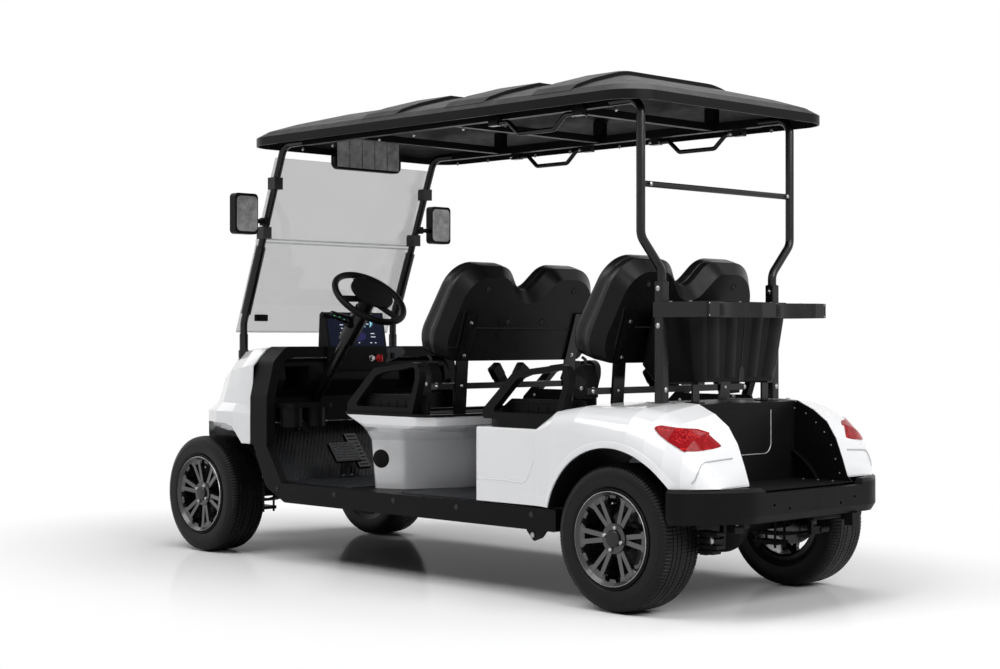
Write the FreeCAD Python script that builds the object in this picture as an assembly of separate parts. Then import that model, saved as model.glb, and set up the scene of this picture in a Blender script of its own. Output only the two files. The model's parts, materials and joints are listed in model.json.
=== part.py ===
"""Four-seat electric golf cart with a canopy roof, an open cabin and a rear bag well.

Millimetres. +X is forward, +Y is the cart's left, +Z is up. The origin is on the ground,
midway between the tips of the bumpers. Stations along X are measured from a datum just behind
the rear axle while the cart is drawn, and every piece is moved by DATUM_X when it is written.
"""
import FreeCAD, Part
import math
import os

V = FreeCAD.Vector

# ---- driving dimensions ------------------------------------------------------------------
REAR_AXLE = 36.0                 # station of the rear axle
WHEELBASE = 2444.0
REAR_OVERHANG = 441.0            # rear axle to the back of the rear bumper
FRONT_OVERHANG = 365.0           # front axle to the tip of the front bumper
TRACK_HALF = 482.0               # centre plane of a tyre from the middle of the cart

TYRE_R = 254.0
TYRE_W = 186.0
TYRE_SHOULDER = 13.0              # width of the chamfer between tread and side
TYRE_BEAD = 12.0                  # how far a side leans in at the rim
RIM_R = 165.0                    # outside of the rim's flange
RIM_WALL = 9.0
RIM_W = 170.0
SPOKE_PAIRS = 6
SPOKE_W = 17.0
SPOKE_GAP_ANGLE = 17.0           # degrees between the two spokes of a pair at the flange
REAR_RIM_TURN = 30.0             # degrees that the first pair of spokes stands ahead of upright
FRONT_RIM_TURN = 15.0
HUB_R = 52.0
DISC_R = 100.0
DISC_T = 8.0
AXLE_TUBE_R = 34.0
STUB_R = 16.0

BODY_HALF = 560.0                # flat side of the body
FLARE_HALF = 592.0               # lip of the rear arch
PANEL_T = 4.0
SILL_H = 80.0
SILL_BOTTOM = 254.0
SILL_T = 34.0
FLOOR_T = 6.0
MAT_T = 4.0
TOE_RUN = 190.0
TOE_RISE = 235.0

RAIL_HALF = 225.0                # centre of a chassis rail from the middle
RAIL_W = 50.0
RAIL_H = 60.0
RAIL_BOTTOM = 262.0

SEAT_PITCH = 830.0
REAR_TRAY_X = 178.0              # back edge of the rear seat's tray
TRAY_L = 528.0
TRAY_HALF = 540.0
TRAY_TOP = 645.0
TRAY_T = 30.0
TRAY_RIM = 10.0                  # thickness of the front tray outside its basin
TRAY_INSET = (40.0, 60.0)        # inside of the basin from the tray's edge along X and Y
TRAY_BASIN_T = 5.0
TRAY_BAR_R = 10.0
TRAY_FLOOR = TRAY_T - 1.5 * TRAY_BAR_R      # thickness under the cross tubes
TRAY_WALL_TOP = TRAY_TOP + 74.0
TRAY_WALL_Y = TRAY_HALF - 56.0   # outer face of the standing walls
TRAY_BAR = 95.0                  # back edge of a tray to its first cross tube

BACK_HALF = 444.0
BACK_BOTTOM = 851.0
BACK_TOP = 1232.0                # along the leaning back, measured from the ground
BACK_VALLEY = 1089.0             # where the two sides of the dip would meet before rounding
SHELL_T = 45.0
PAD_T = 105.0
PAD_TAPER = 28.0                 # how much thinner the pad is at its top than at its bottom
BACK_LEAN = 18.0                 # degrees from vertical
BACK_BASE_X = 238.0              # back of the rear backrest's shell at its bottom edge

POST_R = 16.0
REAR_POST_X = 22.0
REAR_POST_HALF = 431.0
REAR_FOOT_HALF = 320.0
REAR_FOOT_Z = 709.0
LOWER_TUBE = 38.0
LOWER_TUBE_TOP = 1140.0
ELBOW_LOW_Z = 1182.0
ELBOW_HIGH_Z = 1296.0
CROSSBAR_Z = 1479.0
FRONT_POST_HALF = 434.0
FRONT_FOOT_X = 2340.0
FRONT_FOOT_Z = 866.0
FRONT_FOOT_BASE = 590.0          # bracket on the chassis that carries the post
FRONT_KNEE_Z = 1010.0
FRONT_TOP_X = 2046.0
SLEEVE_R = 22.0
BEND_R = 70.0
POST_RUN = 140.0                # length of a post's top along the roof rail

ROOF_HALF = 582.0
ROOF_REAR_X = -72.0
ROOF_L = 2205.0
ROOF_CORNER = 130.0
ROOF_BOTTOM = 1757.0
ROOF_BAND = 34.0
ROOF_RISE = 116.0
ROOF_T = 6.0
RIB_RISE = 12.0
ROOF_RAIL = 30.0

GLASS_T = 5.0
GLASS_HALF = FRONT_POST_HALF + 6.0
GLASS_BOTTOM = 968.0
GLASS_SPLIT = 1368.0
GLASS_TOP = 1722.0
GLASS_AHEAD = 32.0

STEER_R = 172.0
STEER_RING_R = 14.0
STEER_X = 1696.0
STEER_Y = 252.0
STEER_Z = 1110.0
STEER_TILT = 40.0                # degrees of the column from vertical
STEER_BOSS_L = 58.0
COLUMN_R = 24.0

BUMPER_TOP = 439.0
BUMPER_H = 119.0
BUMPER_WALL = 34.0
BUMPER_STEP = 22.0               # how much lower its middle part is
BUMPER_HALF = 580.0
WELL_HALF = 288.0
WELL_FRONT_X = -104.0
DECK_Z = 709.0
REAR_CORNER = 170.0
ARCH_R = 312.0

FRONT_AXLE = REAR_AXLE + WHEELBASE
REAR_X = REAR_AXLE - REAR_OVERHANG
FRONT_X = FRONT_AXLE + FRONT_OVERHANG
DATUM_X = -(REAR_X + FRONT_X) / 2.0
AXLE_Z = TYRE_R
FLOOR_Z = SILL_BOTTOM + SILL_H
RAIL_TOP = RAIL_BOTTOM + RAIL_H
EPS = 0.3


# ---- helpers -----------------------------------------------------------------------------
def box(x0, x1, y0, y1, z0, z1):
    return Part.makeBox(x1 - x0, y1 - y0, z1 - z0, V(x0, y0, z0))


def rod(start, end, radius):
    axis = end - start
    return Part.makeCylinder(radius, axis.Length, start, axis)


def mirrored(shape):
    return shape.mirror(V(0, 0, 0), V(0, 1, 0))


def pair(shape):
    return [shape, mirrored(shape)]


def fused(shapes):
    first, rest = shapes[0], shapes[1:]
    return first.fuse(rest).removeSplitter() if rest else first


def outline(rows, place):
    """Closed wire through rows of (a, b, corner radius); place(a, b) gives the 3-D point."""
    points = [place(row[0], row[1]) for row in rows]
    count = len(points)
    edges = []
    last = None
    first = None
    for i in range(count):
        corner, radius = points[i], rows[i][2] if len(rows[i]) > 2 else 0.0
        before = (points[i - 1] - corner).normalize()
        after = (points[(i + 1) % count] - corner).normalize()
        if radius > 0:
            half = before.getAngle(after) / 2.0
            reach = radius / math.tan(half)
            start, end = corner + before * reach, corner + after * reach
            to_centre = (before + after).normalize()
            middle = corner + to_centre * (radius / math.sin(half) - radius)
            arc = Part.Arc(start, middle, end).toShape()
        else:
            start, end, arc = corner, corner, None
        if last is not None and last.distanceToPoint(start) > 1e-6:
            edges.append(Part.makeLine(last, start))
        if arc is not None:
            edges.append(arc)
        if first is None:
            first = start
        last = end
    if last.distanceToPoint(first) > 1e-6:
        edges.append(Part.makeLine(last, first))
    return Part.Wire(edges)


def prism_x(rows, x0, x1):
    """Rows are (y, z, corner radius)."""
    return Part.Face(outline(rows, lambda a, b: V(x0, a, b))).extrude(V(x1 - x0, 0, 0))


def prism_y(rows, y0, y1):
    """Rows are (x, z, corner radius)."""
    return Part.Face(outline(rows, lambda a, b: V(a, y0, b))).extrude(V(0, y1 - y0, 0))


def prism_z(rows, z0, z1):
    """Rows are (x, y, corner radius)."""
    return Part.Face(outline(rows, lambda a, b: V(a, b, z0))).extrude(V(0, 0, z1 - z0))


def loft_x(sections):
    """Ruled solid through sections of (x, rows), each row (y, z, corner radius)."""
    wires = [outline(rows, lambda a, b, x=x: V(x, a, b)) for x, rows in sections]
    return Part.makeLoft(wires, True, True)


def loft_z(sections):
    """Ruled solid through sections of (z, rows), each row (x, y, corner radius)."""
    wires = [outline(rows, lambda a, b, z=z: V(a, b, z)) for z, rows in sections]
    return Part.makeLoft(wires, True, True)


def tube(points, radius, bend):
    """Round bar along points, with every inner corner bent to the same radius."""
    edges = []
    last = points[0]
    for i in range(1, len(points) - 1):
        corner = points[i]
        before = (points[i - 1] - corner).normalize()
        after = (points[i + 1] - corner).normalize()
        half = before.getAngle(after) / 2.0
        reach = bend / math.tan(half)
        start, end = corner + before * reach, corner + after * reach
        middle = corner + (before + after).normalize() * (bend / math.sin(half) - bend)
        edges.append(Part.makeLine(last, start))
        edges.append(Part.Arc(start, middle, end).toShape())
        last = end
    edges.append(Part.makeLine(last, points[-1]))
    ring = Part.Wire(Part.makeCircle(radius, points[0], points[1] - points[0]))
    return Part.Wire(edges).makePipeShell([ring], True, True)


def rounded(x0, x1, y0, y1, radius):
    """Rows of a rounded rectangle in X and Y."""
    return [(x0, y0, radius), (x1, y0, radius), (x1, y1, radius), (x0, y1, radius)]


def shrunk(rows, inset):
    """Rows of a convex outline, given anticlockwise, with every side moved in and its corners tighter."""
    out = []
    for i in range(len(rows)):
        before, row, after = rows[i - 1], rows[i], rows[(i + 1) % len(rows)]
        first = V(before[1] - row[1], row[0] - before[0], 0).normalize()
        second = V(row[1] - after[1], after[0] - row[0], 0).normalize()
        shift = (first + second) * (inset / (1.0 + first.dot(second)))
        out.append((row[0] + shift.x, row[1] + shift.y, max(row[2] - inset, 0.0)))
    return out


def turned(shape, centre, axis, degrees):
    copy = shape.copy()
    copy.rotate(centre, axis, degrees)
    return copy


def at(shape, x, y, z):
    copy = shape.copy()
    copy.translate(V(x, y, z))
    return copy


# ---- wheels, centred on the origin with the axle along +Y (outer face) ---------------------
def tyre_shape():
    w, r = TYRE_W / 2.0, TYRE_R
    rim = RIM_R - 6.0
    half = [(w - TYRE_BEAD, rim), (w, rim + TYRE_BEAD * 2), (w, r - TYRE_SHOULDER * 2),
            (w - TYRE_SHOULDER, r)]
    rows = [(y, z, 0) for y, z in half] + [(-y, z, 0) for y, z in reversed(half)]
    face = Part.Face(outline(rows, lambda a, b: V(0, a, b)))
    return face.revolve(V(0, 0, 0), V(0, 1, 0), 360)


def rim_shape():
    half, dish = RIM_W / 2.0, 14.0
    seat = RIM_R - 6.0 - EPS
    rows = [(-half, RIM_R - 22, 0), (-half + 6, seat, 0), (half - 4, seat, 0), (half + 8, RIM_R, 0),
            (half + 12, RIM_R - 4, 0), (half, seat - RIM_WALL, 0), (-half + 8, RIM_R - 30, 0)]
    barrel = Part.Face(outline(rows, lambda a, b: V(0, a, b))).revolve(V(0, 0, 0), V(0, 1, 0), 360)
    face_y = half + dish - 26.0
    pieces = [barrel]
    reach = RIM_R - RIM_WALL
    spoke = prism_x([(face_y - 24, 20, 0), (face_y - 6, 20, 0), (face_y + 12, reach, 0),
                     (face_y - 8, reach, 0)], -SPOKE_W / 2.0, SPOKE_W / 2.0)
    for k in range(SPOKE_PAIRS):
        for side in (-0.5, 0.5):
            angle = 360.0 / SPOKE_PAIRS * k + side * SPOKE_GAP_ANGLE
            pieces.append(turned(spoke, V(0, 0, 0), V(0, 1, 0), angle))
    pieces.append(rod(V(0, face_y - 60, 0), V(0, face_y + 2, 0), HUB_R))
    pieces.append(rod(V(0, -DISC_T - 8, 0), V(0, -8, 0), DISC_R))
    pieces.append(rod(V(0, -10, 0), V(0, face_y - 20, 0), HUB_R - 6))
    return fused(pieces)


def wheel_places():
    """Name, X, side and turn of each wheel."""
    return [("rear_left", REAR_AXLE, 1, REAR_RIM_TURN), ("rear_right", REAR_AXLE, -1, REAR_RIM_TURN),
            ("front_left", FRONT_AXLE, 1, FRONT_RIM_TURN), ("front_right", FRONT_AXLE, -1, FRONT_RIM_TURN)]


def wheels():
    nodes = {}
    tyre, rim = tyre_shape(), rim_shape()
    for name, x, side, turn in wheel_places():
        for kind, shape in (("tyre_", tyre), ("rim_", turned(rim, V(0, 0, 0), V(0, 1, 0), turn))):
            piece = at(shape, x, TRACK_HALF, AXLE_Z)
            nodes[kind + name] = [piece if side > 0 else mirrored(piece)]
    return nodes


# ---- axles, springs and knuckles ------------------------------------------------------------
DISC_Y = TRACK_HALF - 8.0                      # outer face of a brake disc
AXLE_END = DISC_Y - DISC_T - EPS
KING_HALF = TRACK_HALF - 60.0
KING_H = 110.0
FORK_T = 16.0
CALIPER_L = 58.0
REAR_SPRING_HALF = 330.0
FRONT_SPRING_HALF = RAIL_HALF
SPRING_W = 50.0
LEAF_T = 8.0


def caliper():
    """Block that straddles the left rear disc, on a bracket from the axle tube."""
    x, y = REAR_AXLE, DISC_Y
    block = box(x + 62, x + 62 + CALIPER_L, y - 34, y + 24, AXLE_Z - 38, AXLE_Z + 38)
    slot = rod(V(x, y - DISC_T - 4, AXLE_Z), V(x, y + 4, AXLE_Z), DISC_R + 5)
    bracket = box(x, x + 70, y - 34, y - 24, AXLE_Z - 22, AXLE_Z + 22)
    return fused([block.cut(slot), bracket])


def rear_axle():
    x = REAR_AXLE
    housing = rod(V(x, -AXLE_END + 40, AXLE_Z), V(x, AXLE_END - 40, AXLE_Z), AXLE_TUBE_R)
    stub = rod(V(x, -AXLE_END, AXLE_Z), V(x, AXLE_END, AXLE_Z), STUB_R)
    gear = Part.makeSphere(96, V(x, -40, AXLE_Z))
    motor = rod(V(x + 30, 20, AXLE_Z + 10), V(x + 30, 235, AXLE_Z + 10), 92)
    return [fused([housing, stub, gear, motor] + pair(caliper()))]


def leaves(x_mid, reach, y, z, sag, count):
    """Leaves bowed down between the eyes, each one shorter than the one above."""
    pieces = []
    for k in range(count):
        share = 1.0 - 0.17 * k
        top = z - k * LEAF_T
        ends = [V(x_mid - reach * share, y, top), V(x_mid, y, top - sag * share ** 2),
                V(x_mid + reach * share, y, top)]
        under = [p - V(0, 0, LEAF_T) for p in ends]
        wire = Part.Wire([Part.Arc(*ends).toShape(), Part.makeLine(ends[2], under[2]),
                          Part.Arc(*under).toShape(), Part.makeLine(under[0], ends[0])])
        pieces.append(Part.Face(wire).extrude(V(0, SPRING_W, 0)))
    return pieces


def spring_unit(x_mid, reach, half, rail_z):
    """Leaf spring clamped under the left end of an axle, with a hanger to the rail at each eye."""
    y0, y1 = half - SPRING_W / 2.0, half + SPRING_W / 2.0
    eye_z = AXLE_Z - 12.0
    low = eye_z - 62.0
    pieces = leaves(x_mid, reach, y0, eye_z, 34.0, 3)
    pieces.append(box(x_mid - 55, x_mid + 55, y0 - 10, y1 + 10, low - 14, low))
    saddle = AXLE_Z + AXLE_TUBE_R
    pieces.append(box(x_mid - 48, x_mid + 48, y0 - 10, y1 + 10, saddle, saddle + 8))
    for dx in (-42, 42):
        for y in (y0 - 4, y1 + 4):
            pieces.append(rod(V(x_mid + dx, y, low - 26), V(x_mid + dx, y, saddle + 14), 5))
    for x in (x_mid - reach, x_mid + reach):
        pieces.append(rod(V(x, y0, eye_z - 4), V(x, y1, eye_z - 4), 14))
        if half > RAIL_HALF + RAIL_W / 2.0:
            pieces.append(box(x - 9, x + 9, RAIL_HALF + RAIL_W / 2.0, y0, eye_z - 18, eye_z + 10))
            pieces.append(box(x - 9, x + 9, RAIL_HALF + RAIL_W / 2.0, RAIL_HALF + RAIL_W / 2.0 + 12,
                              eye_z - 18, rail_z + 30))
        else:
            pieces.append(box(x - 9, x + 9, y0 + 8, y1 - 8, eye_z, rail_z))
    return fused(pieces)


def rear_suspension():
    return pair(spring_unit(REAR_AXLE, 235.0, REAR_SPRING_HALF, REAR_RAIL_Z))


def front_suspension():
    return pair(spring_unit(FRONT_AXLE, 150.0, FRONT_SPRING_HALF, FRONT_RAIL_Z))


def front_axle():
    x = FRONT_AXLE
    beam = rod(V(x, -KING_HALF + 40, AXLE_Z), V(x, KING_HALF - 40, AXLE_Z), AXLE_TUBE_R)
    pieces = []
    for z0 in (AXLE_Z - KING_H / 2.0, AXLE_Z + KING_H / 2.0 - FORK_T):
        pieces.append(box(x - 22, x + 22, KING_HALF - 62, KING_HALF, z0, z0 + FORK_T))
        pieces.append(rod(V(x, KING_HALF, z0), V(x, KING_HALF, z0 + FORK_T), 22))
    pieces.append(box(x - 22, x + 22, KING_HALF - 62, KING_HALF - 40, AXLE_Z - KING_H / 2.0,
                      AXLE_Z + KING_H / 2.0))
    end = fused(pieces)
    rack = rod(V(x - 100, -190, AXLE_Z + 30), V(x - 100, 190, AXLE_Z + 30), 22)
    seat = box(x - 100, x, -60, 60, AXLE_Z + 16, AXLE_Z + 28)
    return [fused([beam, end, mirrored(end), rack, seat])]


def knuckle():
    x = FRONT_AXLE
    low, high = AXLE_Z - KING_H / 2.0 + FORK_T + EPS, AXLE_Z + KING_H / 2.0 - FORK_T - EPS
    barrel = rod(V(x, KING_HALF, low), V(x, KING_HALF, high), 22)
    spindle = rod(V(x, KING_HALF, AXLE_Z), V(x, AXLE_END, AXLE_Z), STUB_R)
    arm = box(x - 96, x, KING_HALF - 12, KING_HALF + 12, AXLE_Z - 10, AXLE_Z + 6)
    return fused([barrel, spindle, arm])


def knuckles():
    left = knuckle()
    return {"knuckle_left": [left], "knuckle_right": [mirrored(left)]}


# ---- chassis, floor and sills -----------------------------------------------------------------
SILL_FRONT_X = 1901.0
SILL_REAR_X = REAR_AXLE + TYRE_R + 18.0
SILL_TOP_REAR_X = 2006.0         # the upright's two edges at its top
SILL_TOP_FRONT_X = 2100.0
SILL_TOP_Z = 488.0
REAR_RAIL_Z = AXLE_Z + 108.0     # underside of the rails over the axles
FRONT_RAIL_Z = AXLE_Z + 92.0
WELL_FLOOR_Z = REAR_RAIL_Z + RAIL_H
CROSS_X = (760.0, 1300.0, 1860.0)
BATTERY_L = 180.0
BATTERY_HALF = 200.0
BATTERY_H = 220.0
BATTERY_GAP = 38.0               # behind the front wall of the pod


def chassis_frame():
    y0, y1 = RAIL_HALF - RAIL_W / 2.0, RAIL_HALF + RAIL_W / 2.0
    rear, front = REAR_X + 62, FRONT_X - 130
    rows = [(rear, REAR_RAIL_Z, 0), (REAR_AXLE + 150, REAR_RAIL_Z, 0), (REAR_AXLE + 310, RAIL_BOTTOM, 0),
            (FRONT_AXLE - 400, RAIL_BOTTOM, 0), (FRONT_AXLE - 270, FRONT_RAIL_Z, 0), (front, FRONT_RAIL_Z, 0),
            (front, FRONT_RAIL_Z + RAIL_H, 0), (FRONT_AXLE - 295, FRONT_RAIL_Z + RAIL_H, 0),
            (FRONT_AXLE - 425, RAIL_TOP, 0), (REAR_AXLE + 335, RAIL_TOP, 0),
            (REAR_AXLE + 175, REAR_RAIL_Z + RAIL_H, 0), (rear, REAR_RAIL_Z + RAIL_H, 0)]
    pieces = pair(prism_y(rows, y0, y1))
    for x in CROSS_X:
        reach = BODY_HALF - SILL_T
        pieces.append(box(x - 20, x + 20, -reach, reach, RAIL_BOTTOM + 10, RAIL_TOP))
    for x, z in ((rear + 20, REAR_RAIL_Z), (REAR_AXLE + 110, REAR_RAIL_Z), (FRONT_AXLE + 120, FRONT_RAIL_Z),
                 (front - 20, FRONT_RAIL_Z)):
        pieces.append(box(x - 20, x + 20, -y0 - 5, y0 + 5, z + 8, z + RAIL_H - 8))
    return [fused(pieces)]


def battery_pack():
    x = POD_FRONT_X - BATTERY_GAP
    return [box(x - BATTERY_L, x, -BATTERY_HALF, BATTERY_HALF, FLOOR_Z, FLOOR_Z + BATTERY_H)]


def floor_sheet(low, high, back, half):
    """Sheet between two offsets from the floor's top face, flat and then up the toe board."""
    slope = math.atan2(TOE_RISE, TOE_RUN)
    front = SILL_FRONT_X + 50

    def corner(d):
        return (front - d * math.tan(slope / 2.0), FLOOR_Z + d)

    def end(d):
        return (front + TOE_RUN - d * math.sin(slope), FLOOR_Z + TOE_RISE + d * math.cos(slope))

    rows = [(back, FLOOR_Z + low), corner(low), end(low), end(high), corner(high), (back, FLOOR_Z + high)]
    return prism_y(rows, -half, half)


def floor_pan():
    return [floor_sheet(-FLOOR_T, 0.0, BODY_FRONT_X, BODY_HALF - SILL_T)]


def floor_mat():
    inner = BODY_HALF - SILL_T - 12
    rear = box(BODY_FRONT_X + 15, POD_BACK_X - 15, -inner, inner, FLOOR_Z, FLOOR_Z + MAT_T)
    return [floor_sheet(0.0, MAT_T, POD_FRONT_X + 15, inner), rear]


def side_sill():
    rows = [(SILL_REAR_X, SILL_BOTTOM, 10), (SILL_FRONT_X - 20, SILL_BOTTOM, 30),
            (2010, SILL_BOTTOM + 60, 40), (SILL_TOP_FRONT_X, SILL_TOP_Z, 0), (SILL_TOP_REAR_X, SILL_TOP_Z, 0),
            (SILL_FRONT_X, FLOOR_Z, 20), (SILL_REAR_X, FLOOR_Z, 10)]
    return prism_y(rows, BODY_HALF - SILL_T, BODY_HALF)


def side_sills():
    return pair(side_sill())


# ---- front body -------------------------------------------------------------------------------
COWL_REAR_X = 2120.0
COWL_BOTTOM = 432.0
COWL_FOOT_Z = 490.0
# X; how far inside the body's side at the flare, above the flare, at the shoulder and at the top; Z of each
COWL_TABLE = [
    (COWL_REAR_X, -2, 6, 14, 88, 616, 652, 826, 900),
    (2230, -12, 8, 34, 100, 624, 660, 812, 893),
    (2360, -6, 30, 74, 130, 624, 660, 800, 872),
    (2500, 52, 108, 142, 188, 622, 658, 764, 812),
    (2640, 150, 194, 234, 268, 614, 644, 706, 736),
    (2760, 264, 298, 323, 352, 590, 612, 641, 664),
    (FRONT_X - 12, 410, 428, 441, 456, 540, 552, 567, 580),
]
# side outline of the opening over a front wheel: X ahead of the axle, Z, corner radius
FRONT_ARCH = [(-320, 300, 0), (-308, COWL_FOOT_Z - 2, 0), (-244, 560, 30), (-180, 574, 60), (100, 574, 80),
              (220, 440, 60), (240, 300, 0)]


def cowl_solid(inset):
    sections = []
    side = BODY_HALF - inset
    for x, flare, lower, shoulder, top, z_flare, z_lower, z_shoulder, z_top in COWL_TABLE:
        half = [(side - flare, COWL_BOTTOM - inset), (side - flare, z_flare - inset),
                (side - lower, z_lower - inset), (side - shoulder, z_shoulder - inset),
                (side - top, z_top - inset)]
        rows = [(y, z, 0) for y, z in half] + [(-y, z, 0) for y, z in reversed(half)]
        place = x - inset if x > FRONT_AXLE + 250 else x - (inset if x == COWL_REAR_X else 0)
        sections.append((place, rows))
    return loft_x(sections)


def front_arch():
    rows = [(FRONT_AXLE + x, z, radius) for x, z, radius in FRONT_ARCH]
    return prism_y(rows, -BODY_HALF - 100, BODY_HALF + 100)


def front_cowl():
    outer = cowl_solid(0.0)
    shell = outer.cut(cowl_solid(PANEL_T))
    arch = front_arch()
    under = box(COWL_REAR_X - 50, FRONT_AXLE, -BODY_HALF - 100, BODY_HALF + 100, 0, COWL_FOOT_Z)
    posts = [rod(V(FRONT_FOOT_X, s * FRONT_POST_HALF, 700), V(FRONT_FOOT_X, s * FRONT_POST_HALF, 1000), 24)
             for s in (-1, 1)]
    return [shell.cut([arch, under] + posts + pair(lamp_prism(EPS)))]


FRAME_DEPTH = 116.0
FRAME_W = 46.0
FRAME_TOP = 905.0
DASH_REAR_X = COWL_REAR_X - FRAME_DEPTH
DASH_TOP = FRAME_TOP - FRAME_W - 8.0
DASH_BOTTOM = FLOOR_Z + TOE_RISE + 12.0
DASH_DEPTH = 246.0


def frame_rows(inset, bottom):
    """Front-view outline of the black surround behind the cowl, rows (y, z, radius)."""
    side = BODY_HALF - inset
    right = [(side, bottom, 0), (side, 690, 60), (side - 38, 845, 60), (side - 105, FRAME_TOP - inset, 40)]
    return right + [(-y, z, r) for y, z, r in reversed(right)]


def cowl_frame():
    ring = prism_x(frame_rows(0, SILL_TOP_Z), DASH_REAR_X, COWL_REAR_X)
    floor = floor_sheet(-FLOOR_T - EPS, MAT_T, BODY_FRONT_X, BODY_HALF - SILL_T + EPS)
    inner = prism_x(frame_rows(FRAME_W, SILL_TOP_Z - 10), DASH_REAR_X - 10, COWL_REAR_X + 10)
    return [ring.cut([inner, floor])]


def dashboard():
    front = DASH_REAR_X + DASH_DEPTH
    body = prism_y([(front, DASH_BOTTOM, 0), (front, DASH_TOP, 0), (DASH_REAR_X + 10, DASH_TOP, 30),
                    (DASH_REAR_X - 4, 760, 20), (DASH_REAR_X + 60, 690, 10),
                    (DASH_REAR_X + 60, DASH_BOTTOM, 0)], -BODY_HALF, BODY_HALF)
    body = body.common(prism_x(frame_rows(FRAME_W + EPS, 0), DASH_REAR_X - 50, front + 50))
    centre = V(STEER_X, STEER_Y, STEER_Z)
    body = body.cut(rod(centre, centre + column_axis() * 800, COLUMN_R + EPS))
    pockets = [box(DASH_REAR_X - 40, DASH_REAR_X + 196, y0, y1, z0, z1) for y0, y1, z0, z1 in
               ((BODY_HALF - 230, BODY_HALF - 100, 720, 820), (100 - BODY_HALF, 380 - BODY_HALF, 715, 815))]
    return [body.cut(pockets)]


def display_unit():
    back = DASH_REAR_X - EPS
    seat = FRAME_TOP + EPS
    rows = [(back, 800, 0), (back, seat, 0), (back + 58, seat, 3), (back + 50, 1050, 10),
            (back + 16, 1057, 8), (back - 14, 900, 10), (back - 9, 800, 3)]
    return [prism_y(rows, -96, 236)]


CUP_Y = (BODY_HALF - 108.0, BODY_HALF - 230.0)
CUP_R = 43.0
CUP_WALL = 5.0
CUP_BOTTOM = 563.0
CUP_TOP = 661.0


def cup_holder():
    cups = []
    x = DASH_REAR_X - 30
    for y in CUP_Y:
        cups.append(rod(V(x, y, CUP_BOTTOM), V(x, y, CUP_TOP), CUP_R + CUP_WALL))
    plan = rounded(x - 60, DASH_REAR_X + 60 - EPS, CUP_Y[1] - 62, CUP_Y[0] + 48, 25)
    shelf = prism_z(plan, CUP_TOP - 15, CUP_TOP + 3)
    bores = [rod(V(x, y, CUP_BOTTOM + 5), V(x, y, CUP_TOP + 20), CUP_R) for y in CUP_Y]
    return [fused(cups + [shelf]).cut(bores)]


def front_bumper():
    rows = [(FRONT_X, 120, 60), (2790, 300, 120), (2700, 385, 40), (2640, 420, 0), (2640, -420, 0),
            (2700, -385, 40), (2790, -300, 120), (FRONT_X, -120, 60)]
    plate = prism_z(rows, 300, COWL_BOTTOM)
    inner = prism_z([(x - 60, y * 0.9, r) for x, y, r in rows], 290, COWL_BOTTOM + 10)
    ring = plate.cut([inner, front_arch()])
    turn = math.hypot(TYRE_R, TRACK_HALF + TYRE_W / 2.0 - KING_HALF) + 6
    room = pair(rod(V(FRONT_AXLE, KING_HALF, 250), V(FRONT_AXLE, KING_HALF, 500), turn))
    beam = box(FRONT_X - 130, FRONT_X - 60, -150, 150, 350, 420)
    return [fused([ring, beam]).cut(room)]


LAMP_REAR = 205.0                # back of a headlight's opening, behind the front bumper's tip
LENS_T = 24.0


def lamp_prism(grow):
    """Outline of the left headlight, run forward out of the cowl."""
    rows = shrunk([(150, 500, 15), (330, 545, 15), (345, 585, 20), (170, 560, 15)], -grow)
    return prism_x(rows, FRONT_X - LAMP_REAR, FRONT_X)


def headlights():
    return pair(lamp_prism(0.0).common(cowl_solid(0.0)).cut(cowl_solid(LENS_T)))


BRAKE_Y = 205.0
BRAKE_H = 96.0
BRAKE_W = 140.0
BRAKE_RISE = 111.0               # middle of the brake's plate over the floor
PEDAL_T = 16.0


def pedals():
    slope = math.degrees(math.atan2(TOE_RISE, TOE_RUN))
    half = PEDAL_T / 2.0
    plate = box(-BRAKE_H / 2.0, BRAKE_H / 2.0, -BRAKE_W / 2.0, BRAKE_W / 2.0, -half, half)
    brake = turned(plate, V(0, 0, 0), V(0, 1, 0), -slope)
    brake = at(brake, SILL_FRONT_X + 17, BRAKE_Y, FLOOR_Z + BRAKE_RISE)
    arm_b = rod(V(SILL_FRONT_X + 25, BRAKE_Y, FLOOR_Z), V(SILL_FRONT_X + 17, BRAKE_Y, FLOOR_Z + BRAKE_RISE),
                11)
    throttle = at(turned(box(-90, 90, -32, 32, -half, half), V(0, 0, 0), V(0, 1, 0), -slope),
                  SILL_FRONT_X + 75, 90, FLOOR_Z + 110)
    arm_t = rod(V(SILL_FRONT_X + 75, 90, FLOOR_Z + 110), V(SILL_FRONT_X + 145, 90, FLOOR_Z + 95), 9)
    floor = floor_mat()[0].fuse(floor_pan()[0])
    return [fused([brake, arm_b]).cut(floor), fused([throttle, arm_t]).cut(floor)]


# ---- steering -----------------------------------------------------------------------------------
def column_axis():
    tilt = math.radians(STEER_TILT)
    return V(math.sin(tilt), 0, -math.cos(tilt))


def steering_column():
    centre = V(STEER_X, STEER_Y, STEER_Z)
    axis = column_axis()
    lower = rod(centre + axis * 70, centre + axis * 640, COLUMN_R).cut(floor_pan()[0])
    shroud = rod(centre + axis * (STEER_BOSS_L + EPS), centre + axis * 230, 38)
    stalk = rod(centre + axis * 120, centre + axis * 105 + V(0, 150, 20), 8)
    return [fused([lower, shroud, stalk])]


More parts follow.
